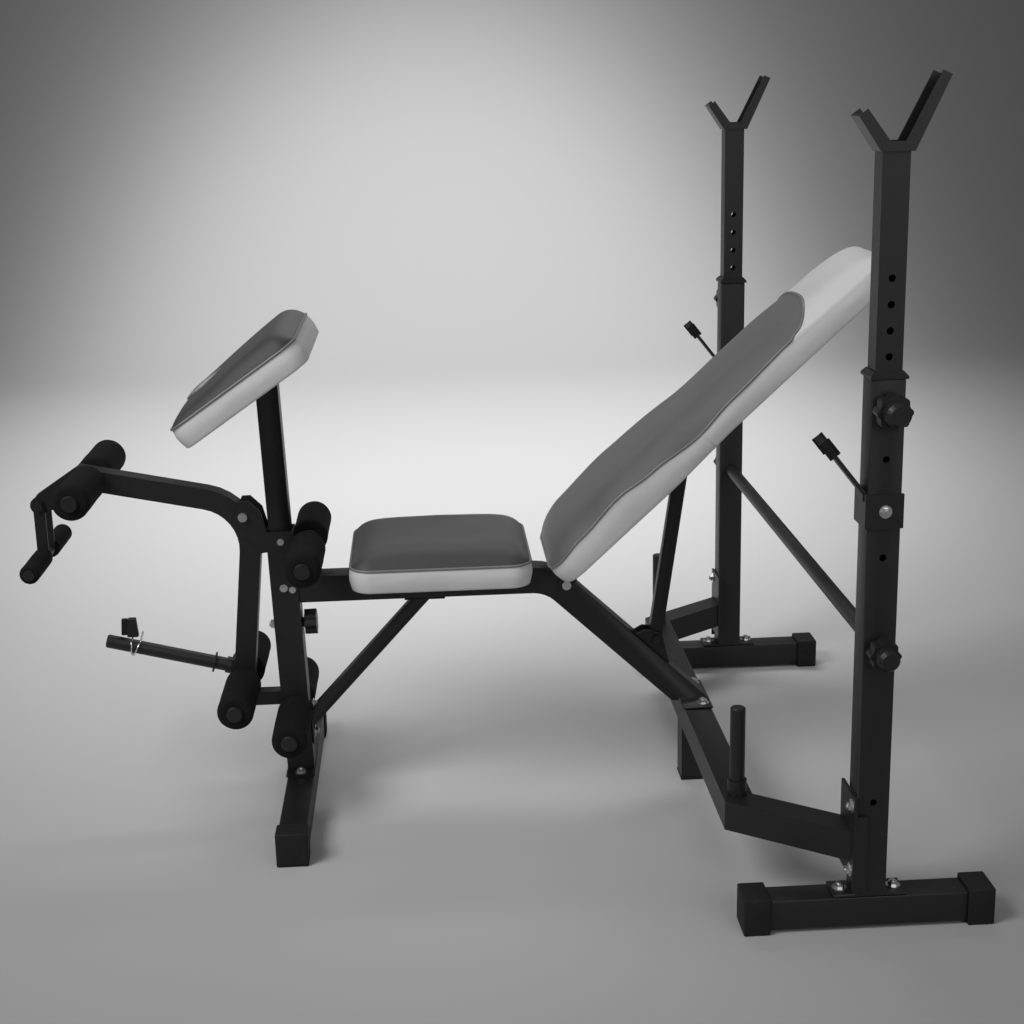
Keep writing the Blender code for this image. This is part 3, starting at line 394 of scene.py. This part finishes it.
def padMesh(pad, rows=110, columns=60):
    mesh = bmesh.new()
    spots, spread, edge = padLoop(pad, rows, columns)
    grid = []
    for s in spots:
        wide = padHalf(pad, s)
        grid.append([mesh.verts.new((s, v * wide, padHeight(pad, s, v * wide))) for v in spread])
    for i in range(rows):
        for j in range(columns):
            corners = (grid[i][j], grid[i + 1][j], grid[i + 1][j + 1], grid[i][j + 1])
            mesh.faces.new(corners).material_index = 1
    rim = [grid[i][j] for i, j in edge]
    count = len(rim)
    outward = []
    for k in range(count):
        ahead = rim[(k + 1) % count].co - rim[k - 1].co
        outward.append(Vector((ahead.y, -ahead.x, 0)).normalized())
    middle = Vector(((pad["first"] + pad["last"]) / 2, 0, 0))
    if outward[0].dot(rim[0].co - middle) < 0:
        outward = [-way for way in outward]
    rings = [rim]
    steps = 9
    profile = []
    for k in range(1, steps + 1):
        t = k / steps
        profile.append((pad["bulge"] * math.sin(math.pi * min(1.0, t * 1.02)), 1 - t * 0.93))
    profile += [(-0.0008, 0.035), (-0.0026, 0.010), (-0.0050, 0.0)]
    profile += [(-pocket["inset"], 0.0), (-pocket["inset"], None)]      # None is the recess's ceiling
    for out, part in profile:
        ring = []
        for vert, way in zip(rim, outward):
            height = pocket["depth"] if part is None else vert.co.z * part
            wave = 0.0006 * noise.noise(Vector((vert.co.x * 25, vert.co.y * 25, height * 60)))
            reach = out + wave
            ring.append(mesh.verts.new((vert.co.x + way.x * reach, vert.co.y + way.y * reach, height)))
        rings.append(ring)
    for a, b in zip(rings, rings[1:]):
        for k in range(count):
            m = (k + 1) % count
            mesh.faces.new((a[k], a[m], b[m], b[k])).material_index = 0
    mesh.faces.new(rings[-1]).material_index = 0
    layer = mesh.loops.layers.uv.new("plan")
    for face in mesh.faces:
        for loop in face.loops:
            loop[layer].uv = (loop.vert.co.x, loop.vert.co.y)
    return mesh, [(vert.co.copy(), way) for vert, way in zip(rim, outward)]


# a round cord along a path of points
def tube(path, radius, closed=True, sides=10):
    mesh = bmesh.new()
    count = len(path)
    rings = []
    for k, point in enumerate(path):
        before = path[k - 1] if closed or k else path[k]
        after = path[(k + 1) % count] if closed or k + 1 < count else path[k]
        ahead = (after - before).normalized()
        up = Vector((0, 0, 1)) if abs(ahead.z) < 0.9 else Vector((1, 0, 0))
        side = ahead.cross(up).normalized()
        up = side.cross(ahead)
        rings.append([mesh.verts.new(point + (side * math.cos(a) + up * math.sin(a)) * radius)
                      for a in (2 * math.pi * q / sides for q in range(sides))])
    pairs = list(zip(rings, rings[1:])) + ([(rings[-1], rings[0])] if closed else [])
    for a, b in pairs:
        for q in range(sides):
            r = (q + 1) % sides
            mesh.faces.new((a[q], a[r], b[r], b[q]))
    if not closed:
        mesh.faces.new(rings[0])
        mesh.faces.new(rings[-1])
    return mesh


# a closed profile of (along, radius) turned about a line
def lathe(profile, start, direction, steps=48):
    mesh = bmesh.new()
    turn = Vector((0, 0, 1)).rotation_difference(Vector(direction)).to_matrix()
    rings = []
    for along, radius in profile:
        rings.append([mesh.verts.new(Vector(start) + turn @ Vector(
            (radius * math.cos(2 * math.pi * q / steps), radius * math.sin(2 * math.pi * q / steps), along)))
            for q in range(steps)])
    for a, b in zip(rings, rings[1:] + rings[:1]):
        for q in range(steps):
            r = (q + 1) % steps
            mesh.faces.new((a[q], a[r], b[r], b[q]))
    return mesh


# a small bead every so often along a path of edges
def repeatTree(name):
    tree = bpy.data.node_groups.new(name, "GeometryNodeTree")
    tree.interface.new_socket("Path", in_out="INPUT", socket_type="NodeSocketGeometry")
    for label, value in (("Spacing", 0.0048), ("Length", 0.0032), ("Width", 0.0007)):
        tree.interface.new_socket(label, in_out="INPUT", socket_type="NodeSocketFloat").default_value = value
    tree.interface.new_socket("Material", in_out="INPUT", socket_type="NodeSocketMaterial")
    tree.interface.new_socket("Result", in_out="OUTPUT", socket_type="NodeSocketGeometry")
    add, link = tree.nodes.new, tree.links.new
    source, result = add("NodeGroupInput"), add("NodeGroupOutput")
    curve, points = add("GeometryNodeMeshToCurve"), add("GeometryNodeCurveToPoints")
    points.mode = "LENGTH"
    bead, stretch = add("GeometryNodeMeshUVSphere"), add("ShaderNodeCombineXYZ")
    scatter = add("GeometryNodeInstanceOnPoints")
    bead.inputs["Segments"].default_value, bead.inputs["Rings"].default_value = 6, 4
    bead.inputs["Radius"].default_value = 0.5
    realize, finish = add("GeometryNodeRealizeInstances"), add("GeometryNodeSetMaterial")
    link(source.outputs["Path"], curve.inputs[0])
    link(curve.outputs[0], points.inputs[0])
    link(source.outputs["Spacing"], points.inputs["Length"])
    link(points.outputs["Points"], scatter.inputs["Points"])
    link(points.outputs["Rotation"], scatter.inputs["Rotation"])
    link(bead.outputs["Mesh"], scatter.inputs["Instance"])
    link(source.outputs["Width"], stretch.inputs[0])
    link(source.outputs["Width"], stretch.inputs[1])
    link(source.outputs["Length"], stretch.inputs[2])
    link(stretch.outputs[0], scatter.inputs["Scale"])
    link(scatter.outputs[0], realize.inputs[0])
    link(realize.outputs[0], finish.inputs[0])
    link(source.outputs["Material"], finish.inputs["Material"])
    link(finish.outputs[0], result.inputs[0])
    return tree


stitchTree = repeatTree("stitchRun")


def stitches(name, path, body, material, spacing=0.0048, length=0.0033, width=0.0009):
    mesh = bmesh.new()
    verts = [mesh.verts.new(point) for point in path]
    for a, b in zip(verts, verts[1:] + verts[:1]):
        mesh.edges.new((a, b))
    guide = makeObject(name + "Guide", mesh, smooth=0)
    run = guide.modifiers.new("stitches", "NODES")
    run.node_group = stitchTree
    values = dict(Spacing=spacing, Length=length, Width=width, Material=material)
    for item in stitchTree.interface.items_tree:
        if item.in_out == "INPUT" and item.name in values:
            run[item.identifier] = values[item.name]
    bpy.context.view_layer.update()
    data = bpy.data.meshes.new_from_object(guide.evaluated_get(bpy.context.evaluated_depsgraph_get()))
    bpy.data.objects.remove(guide)
    data.name = name
    piece = bpy.data.objects.new(name, data)
    bpy.context.scene.collection.objects.link(piece)
    return place(piece, body, "silver_vinyl")


def makePad(pad):
    name = pad["node"]
    mesh, rim = padMesh(pad)
    turn = padFrame(pad)
    mesh.transform(turn)
    top = insertVinyl(name + "TopVinyl", *pad["dark"], pad.get("insert"))
    piece = makeObject(name + "_cushion", mesh, silver, top, smooth=50)
    if name == "curl_pad":
        cutSlot(piece, pad, turn)
    place(piece, pad["body"], "silver_vinyl", name)
    insert = pad.get("insert")
    if insert:
        cord = []
        for co, way in rim:
            if co.x <= insert["start"]:
                cord.append(co + way * 0.0006 + Vector((0, 0, 0.0006)))
        # the loop breaks at the head end: put the rounded end of the insert in the break
        jump = max(range(len(cord)), key=lambda k: (cord[k] - cord[k - 1]).length)
        cord = cord[jump:] + cord[:jump]
        sign = 1 if cord[-1].y > 0 else -1
        for k in range(1, 60):
            angle = math.pi * k / 60
            across = math.copysign(abs(math.cos(angle)) ** (2 / insert["power"]), math.cos(angle)) * sign
            s = insert["start"] + insert["reach"] * math.sin(angle) ** (2 / insert["power"])
            y = across * min(insert["half"], padHalf(pad, s) - 0.0015)
            cord.append(Vector((s, y, padHeight(pad, s, y) + 0.0006)))
    else:
        cord = [co + way * 0.0008 + Vector((0, 0, 0.0002)) for co, way in rim]
    bead = makeObject(name + "_piping", tube([turn @ point for point in cord], 0.0023), piping, smooth=0)
    place(bead, pad["body"], "silver_vinyl")
    seam = [co + way * (pad["bulge"] * 0.35 + 0.0003) - Vector((0, 0, 0.0062)) for co, way in rim]
    stitches(name + "_stitches", [turn @ point for point in seam], pad["body"], silver)
    return piece


def stadium(low, high, half, radius, steps=10):
    points = []
    for cx, cy, first in ((high, half, 0), (low, half, 90), (low, -half, 180), (high, -half, 270)):
        inX = cx - math.copysign(radius, cx - (low + high) / 2)
        inY = cy - math.copysign(radius, cy)
        for k in range(steps + 1):
            angle = math.radians(first + 90 * k / steps)
            points.append((inX + radius * math.cos(angle), inY + radius * math.sin(angle)))
    return points


handSlot = dict(low=-0.128, high=-0.058, half=0.050, radius=0.034, lining=0.0022)


def prismMesh(outline, low, high):
    mesh = bmesh.new()
    rings = [[mesh.verts.new((a, b, c)) for a, b in outline] for c in (low, high)]
    mesh.faces.new(rings[0])
    mesh.faces.new(rings[1])
    for k in range(len(outline)):
        m = (k + 1) % len(outline)
        mesh.faces.new((rings[0][k], rings[0][m], rings[1][m], rings[1][k]))
    return mesh


# cuts the hand slot through the curl pad and lines it with a rolled silver band
def cutSlot(piece, pad, turn):
    slot = handSlot
    outline = stadium(slot["low"], slot["high"], slot["half"], slot["radius"])
    cutMesh = prismMesh(outline, -0.03, 0.12)
    cutMesh.transform(turn)
    cutter = makeObject("slotCutter", cutMesh, silver, smooth=0)
    cut = piece.modifiers.new("slot", "BOOLEAN")
    cut.operation, cut.object, cut.solver = "DIFFERENCE", cutter, "EXACT"
    bpy.context.view_layer.update()
    data = bpy.data.meshes.new_from_object(piece.evaluated_get(bpy.context.evaluated_depsgraph_get()))
    piece.modifiers.clear()
    old = piece.data
    piece.data = data
    bpy.data.meshes.remove(old)
    bpy.data.objects.remove(cutter)
    band = bmesh.new()
    thick = slot["lining"]
    inner = stadium(slot["low"] + thick, slot["high"] - thick, slot["half"] - thick, slot["radius"] - thick)
    count = len(outline)
    rings = []
    for points, height in ((outline, 0.002), (outline, None), (inner, None), (inner, 0.002)):
        ring = []
        for k, (a, b) in enumerate(points):
            level = padHeight(pad, *outline[k]) + 0.0004 if height is None else height
            ring.append(band.verts.new((a, b, level)))
        rings.append(ring)
    for a, b in zip(rings, rings[1:] + rings[:1]):
        for k in range(count):
            m = (k + 1) % count
            band.faces.new((a[k], a[m], b[m], b[k]))
    band.transform(turn)
    place(makeObject("curl_slot_lining", band, silver, smooth=50), pad["body"], "silver_vinyl")
    lip = [turn @ Vector((a, b, padHeight(pad, a, b) + 0.0006)) for a, b in outline]
    place(makeObject("curl_slot_piping", tube(lip, 0.0020), piping, smooth=0), pad["body"], "silver_vinyl")


for pad in (seatPad, backPad, curlRest):
    makePad(pad)

waist = dict(at=0.371, bow=0.003, radius=0.0011)    # the backrest's side band is pieced where the pad narrows
for word, side in (("near", -1), ("far", 1)):
    turn = padFrame(backPad)
    seam = []
    for k in range(10):
        t = k / 9
        out = padHalf(backPad, waist["at"]) + backPad["bulge"] * math.sin(math.pi * (0.06 + 0.88 * t))
        along = waist["at"] + waist["bow"] * math.sin(math.pi * t)
        seam.append(turn @ Vector((along, side * out, through(backWelt, waist["at"]) * (1 - t) + 0.001)))
    thread = tube(seam, waist["radius"], False, 8)
    place(makeObject("back_side_seam_" + word, thread, silver, smooth=0), "backrest", "silver_vinyl")
print("pads made")

# foam rollers and grips: a fat tube with rolled ends
foamTube = dict(dents=0.0006, rows=22)
foamSizes = dict(_roller=(0.0118, 0.010), _grip=(0.0104, 0.006))     # bore and rounding of the ends


def bodyOf(node):
    bodies = frame["record"]["behaviour"]["bodies"]
    return next(name for name in bodies if node in bodies[name])


def makeFoam(node, bore, edge):
    low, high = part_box(node)
    x, z = (low[0] + high[0]) / 2, (low[2] + high[2]) / 2
    outer = (high[0] - low[0]) / 2
    length = high[1] - low[1]
    profile = [(0.0, bore)]
    for k in range(7):
        angle = math.pi / 2 * k / 6
        profile.append((edge - edge * math.cos(angle), outer - edge + edge * math.sin(angle)))
    for k in range(1, foamTube["rows"]):
        profile.append((edge + (length - 2 * edge) * k / foamTube["rows"], outer))
    for k in range(7):
        angle = math.pi / 2 * (1 - k / 6)
        profile.append((length - edge + edge * math.cos(angle), outer - edge + edge * math.sin(angle)))
    profile.append((length, bore))
    mesh = lathe(profile, (x, low[1], z), (0, 1, 0), 56)
    for vert in mesh.verts:
        away = Vector((vert.co.x - x, 0, vert.co.z - z))
        if away.length > bore + 0.002:
            dent = noise.noise(vert.co * 34 + Vector((3.1 * x, 0, 0))) * foamTube["dents"] - foamTube["dents"]
            vert.co += away.normalized() * dent
    place(makeObject(node + "_sleeve", mesh, foamBlack, smooth=60), bodyOf(node), "black_foam", node)


for part in frame["record"]["subparts"]:
    for ending, sizes in foamSizes.items():
        if part["node"].endswith(ending):
            makeFoam(part["node"], *sizes)
print("foam made")

# steel tube has rolled corners, so each hard CAD piece listed below gets a copy with its long edges rounded
rolled = dict(tube=0.0024, cap=0.0030, plate=0.0008, least=0.011)


def rollEdges(node, width):
    source = bpy.data.objects[node]
    mesh = bmesh.new()
    mesh.from_mesh(source.data)
    bmesh.ops.remove_doubles(mesh, verts=mesh.verts, dist=2e-5)
    bmesh.ops.dissolve_limit(mesh, angle_limit=math.radians(0.6), verts=mesh.verts, edges=mesh.edges)
    edges = [edge for edge in mesh.edges if edge.is_manifold and edge.is_convex
             and edge.calc_face_angle(0.0) > math.radians(50) and edge.calc_length() > rolled["least"]
             and min(face.calc_area() for face in edge.link_faces) > width * 0.012]
    bmesh.ops.bevel(mesh, geom=edges, offset=width, segments=3, profile=0.5, affect="EDGES",
                    clamp_overlap=False)
    bmesh.ops.remove_doubles(mesh, verts=mesh.verts, dist=1e-6)
    bmesh.ops.triangulate(mesh, faces=[face for face in mesh.faces if len(face.verts) > 4])
    piece = makeObject(node + "_rolled", mesh, source.data.materials[0], smooth=32)
    slot = next(part["material_slot"] for part in frame["record"]["subparts"] if part["node"] == node)
    return place(piece, bodyOf(node), slot, node)


for node in ("near_foot_cap_front", "near_foot_cap_rear", "far_foot_cap_front", "far_foot_cap_rear",
             "near_stabiliser_cap", "far_stabiliser_cap", "crossbar_foot"):
    rollEdges(node, rolled["cap"])
for node in ("near_foot_tube", "far_foot_tube", "near_upright", "far_upright", "front_stabiliser",
             "main_beam", "diagonal_brace", "back_strut", "curl_post"):
    rollEdges(node, rolled["tube"])
print("edges rolled")

# bolts: a place, the way the head points, a size and the body it sits on
face = 0.585 + 0.0253
boltRun = dict(
    frame=[(x, y, 0.0614, 0, 0, 1, 0.0068) for x in (-0.043, 0.043) for y in (-0.585, 0.585)]
    + [(-0.9265, y, 0.0614, 0, 0, 1, 0.0068) for y in (-0.043, 0.043)]
    + [(-0.168, y, 0.1688, 0, 0, 1, 0.0068) for y in (-0.053, 0.053)]
    + [(-0.0304, y, z, -1, 0, 0, 0.0065) for y in (-0.600, 0.600) for z in (0.100, 0.208)]
    + [(0.0, side * (face + 0.0051), 0.683, 0, side, 0, 0.0056) for side in (-1, 1)]
    + [(-0.940, -0.0251, 0.506, 0, -1, 0, 0.0036), (-0.9393, -0.0251, 0.418, 0, -1, 0, 0.0042),
       (-0.9237, -0.0251, 0.414, 0, -1, 0, 0.0036), (-0.9607, 0, 0.342, -1, 0, 0, 0.0075)]
    + [(-0.8995, 0, 0.126, 1, 0, 0, 0.0062), (-0.8995, 0, 0.180, 1, 0, 0, 0.0062)])


def boltTree():
    tree = bpy.data.node_groups.new("boltHeads", "GeometryNodeTree")
    tree.interface.new_socket("Places", in_out="INPUT", socket_type="NodeSocketGeometry")
    tree.interface.new_socket("Material", in_out="INPUT", socket_type="NodeSocketMaterial")
    tree.interface.new_socket("Result", in_out="OUTPUT", socket_type="NodeSocketGeometry")
    add, link = tree.nodes.new, tree.links.new
    source, result = add("NodeGroupInput"), add("NodeGroupOutput")
    points, scatter = add("GeometryNodeMeshToPoints"), add("GeometryNodeInstanceOnPoints")
    join = add("GeometryNodeJoinGeometry")
    link(source.outputs["Places"], points.inputs["Mesh"])
    for sides, radius, depth, lift in ((24, 1.75, 0.22, 0.11), (6, 1.12, 0.95, 0.65), (16, 0.62, 0.5, 1.22)):
        part, move = add("GeometryNodeMeshCylinder"), add("GeometryNodeTransform")
        part.inputs["Vertices"].default_value = sides
        part.inputs["Radius"].default_value, part.inputs["Depth"].default_value = radius, depth
        move.inputs["Translation"].default_value = (0, 0, lift)
        link(part.outputs["Mesh"], move.inputs[0])
        link(move.outputs[0], join.inputs[0])
    way, size = add("GeometryNodeInputNamedAttribute"), add("GeometryNodeInputNamedAttribute")
    turn = add("FunctionNodeAlignRotationToVector")
    way.data_type, size.data_type, turn.axis = "FLOAT_VECTOR", "FLOAT", "Z"
    way.inputs["Name"].default_value, size.inputs["Name"].default_value = "way", "size"
    link(way.outputs[0], turn.inputs["Vector"])
    link(turn.outputs[0], scatter.inputs["Rotation"])
    link(size.outputs[0], scatter.inputs["Scale"])
    link(points.outputs[0], scatter.inputs["Points"])
    link(join.outputs[0], scatter.inputs["Instance"])
    realize, finish = add("GeometryNodeRealizeInstances"), add("GeometryNodeSetMaterial")
    link(scatter.outputs[0], realize.inputs[0])
    link(realize.outputs[0], finish.inputs[0])
    link(source.outputs["Material"], finish.inputs["Material"])
    link(finish.outputs[0], result.inputs[0])
    return tree


def makeBolts(body, rows):
    data = bpy.data.meshes.new("boltPlaces")
    data.from_pydata([(row[0] + rackX, row[1], row[2]) for row in rows], [], [])
    data.attributes.new("way", "FLOAT_VECTOR", "POINT")
    data.attributes.new("size", "FLOAT", "POINT")
    for k, row in enumerate(rows):
        data.attributes["way"].data[k].vector = row[3:6]
        data.attributes["size"].data[k].value = row[6]
    guide = bpy.data.objects.new("boltGuide", data)
    bpy.context.scene.collection.objects.link(guide)
    run = guide.modifiers.new("heads", "NODES")
    run.node_group = boltTree()
    for item in run.node_group.interface.items_tree:
        if item.in_out == "INPUT" and item.name == "Material":
            run[item.identifier] = zinc
    bpy.context.view_layer.update()
    made = bpy.data.meshes.new_from_object(guide.evaluated_get(bpy.context.evaluated_depsgraph_get()))
    bpy.data.objects.remove(guide)
    piece = bpy.data.objects.new(body + "_bolt_heads", made)
    bpy.context.scene.collection.objects.link(piece)
    place(piece, body, "zinc_plate")


makeBolts("frame", boltRun["frame"])

# rubber over the tips of the safety hooks
hookRubber = dict(root=(-0.0295, 0.709), tip=(-0.090, 0.786), length=0.024, thick=0.0064, half=0.0206)


def rubberTip(name, y):
    root, tip = (Vector((hookRubber[end][0], 0, hookRubber[end][1])) for end in ("root", "tip"))
    along = (tip - root).normalized()
    across = Vector((along.z, 0, -along.x))
    mesh = bmesh.new()
    bmesh.ops.create_cube(mesh, size=1.0)
    centre = tip - along * (hookRubber["length"] / 2 - 0.001)
    for vert in mesh.verts:
        a, b, c = vert.co
        vert.co = centre + along * a * hookRubber["length"] + across * c * hookRubber["thick"] * 2
        vert.co += Vector((rackX, y + b * hookRubber["half"] * 2, 0))
    bmesh.ops.bevel(mesh, geom=mesh.edges[:], offset=0.003, segments=3, profile=0.5, affect="EDGES")
    place(makeObject(name, mesh, rubberBlack, smooth=40), "frame", "black_rubber")


for word, side in (("near", -1), ("far", 1)):
    rubberTip(word + "_hook_rubber", side * 0.585)

# spring collar on the weight peg: two wire loops and two finger grips
springCollar = dict(along=0.188, rise=14.5, start=(-1.0405, 0.2605), wire=0.0017, loop=0.0152)


def makeCollar():
    rise = math.radians(springCollar["rise"])
    way = Vector((-math.cos(rise), 0, math.sin(rise)))
    up = Vector((math.sin(rise), 0, math.cos(rise)))
    startX, startZ = springCollar["start"]
    peg = Vector((startX + rackX, 0, startZ)) + way * springCollar["along"]
    wires = []
    for offset, lean, side in ((0.004, 0.22, -1), (-0.005, -0.25, 1)):
        path = []
        for k in range(30):
            angle = 2 * math.pi * k / 30
            lift = math.sin(angle) * springCollar["loop"]
            path.append(peg + way * (offset + lean * lift) + up * lift
                        + Vector((0, math.cos(angle) * springCollar["loop"], 0)))
        wires.append(tube(path, springCollar["wire"], True, 8))
        foot = peg + way * (offset + lean * springCollar["loop"]) + up * springCollar["loop"]
        stub = [foot + up * lifted + Vector((0, side * out, 0))
                for lifted, out in ((0, 0), (0.006, 0.003), (0.016, 0.007))]
        wires.append(tube(stub, springCollar["wire"], False, 8))
    joined = bmesh.new()
    for wire in wires:
        held = bpy.data.meshes.new("held")
        wire.to_mesh(held)
        wire.free()
        joined.from_mesh(held)
        bpy.data.meshes.remove(held)
    loops = makeObject("spring_collar_wire", joined, wireSteel, smooth=60)
    place(loops, "collar_clamp", "zinc_plate", "spring_collar")
    for name, centre, size in (("front", (0.0005, -0.0095, 0.042), (0.021, 0.012, 0.036)),
                               ("rear", (-0.016, 0.0075, 0.038), (0.016, 0.008, 0.032))):
        mesh = bmesh.new()
        bmesh.ops.create_cube(mesh, size=1.0)
        for vert in mesh.verts:
            taper = 1.0 - 0.28 * (vert.co.z > 0)
            vert.co = peg + Vector((centre[0] + vert.co.x * size[0] * taper, centre[1] + vert.co.y * size[1],
                                    centre[2] + vert.co.z * size[2]))
        bmesh.ops.bevel(mesh, geom=mesh.edges[:], offset=0.0028, segments=3, profile=0.6, affect="EDGES")
        grip = makeObject("spring_collar_grip_" + name, mesh, plasticBlack, smooth=40)
        place(grip, "collar_clamp", "black_plastic", "spring_collar")


makeCollar()
print("small parts made")

# floor that curves up into a wall with a painted pool of light on it, and diffuse lamp light
studio = dict(reach=9.0, front=-7.0, back=4.6, bend=2.0, height=5.0, world=0.20)


def makeStudio():
    mesh = bmesh.new()
    line = [(studio["front"], 0.0), (studio["back"], 0.0)]
    for k in range(1, 13):
        angle = math.pi / 2 * k / 12
        bend = studio["bend"]
        line.append((studio["back"] + bend * math.sin(angle), bend * (1 - math.cos(angle))))
    line.append((studio["back"] + studio["bend"], studio["height"]))
    rows = [[mesh.verts.new((x, y, z)) for y, z in line] for x in (-studio["reach"], studio["reach"])]
    for k in range(len(line) - 1):
        mesh.faces.new((rows[0][k], rows[1][k], rows[1][k + 1], rows[0][k + 1]))
    mesh.normal_update()
    paper = Paint("studioPaper", Roughness=0.9)
    parts = paper.tree.nodes.new("ShaderNodeSeparateXYZ")
    paper.tree.links.new(paper.place.socket, parts.inputs[0])
    across, deep, high = (Wire(paper, parts.outputs[k]) for k in range(3))
    # painted pool of light: the paper's colour is brightest at the foot of the wall behind the bench and
    # darkens away from it
    away = (across * 0.42) ** 2.0 + ((deep - 4.6) * 0.165) ** 2.0 + (high * 0.40) ** 2.0
    paintedLightPool = paper.ramp(1.0 / ((away * 1.5) ** 3.0 + 1.0), (0.0, 0.12), (1.0, 0.82))
    floor = makeObject("studio_floor", mesh, paper.feed(Base_Color=paintedLightPool), smooth=0)
    if floor.data.polygons[0].normal.z < 0:
        floor.data.flip_normals()


def softLight(name, place, target, size, power):
    data = bpy.data.lights.new(name, "AREA")
    data.shape, data.size, data.energy = "DISK", size, power
    lamp = bpy.data.objects.new(name, data)
    lamp.location = place
    lamp.rotation_euler = (Vector(target) - Vector(place)).to_track_quat("-Z", "Y").to_euler()
    bpy.context.scene.collection.objects.link(lamp)


# each lamp: its place, what it points at, its width and its power
lamps = dict(keyLight=((-2.4, -1.9, 3.4), (0, 0, 0.5), 2.0, 105),
             fillLight=((1.6, -3.8, 2.0), (0, 0, 0.5), 2.4, 26),
             wallLight=((0.2, 2.2, 3.6), (0.2, 4.6, 0.8), 2.6, 110))
makeStudio()
for lamp, row in lamps.items():
    softLight(lamp, *row)
world = bpy.data.worlds.new("studioAir")
bpy.context.scene.world = world
world.use_nodes = True
world.node_tree.nodes["Background"].inputs[0].default_value = (1, 1, 1, 1)
world.node_tree.nodes["Background"].inputs[1].default_value = studio["world"]
bpy.context.scene.view_settings.view_transform = "Standard"
print("studio made")
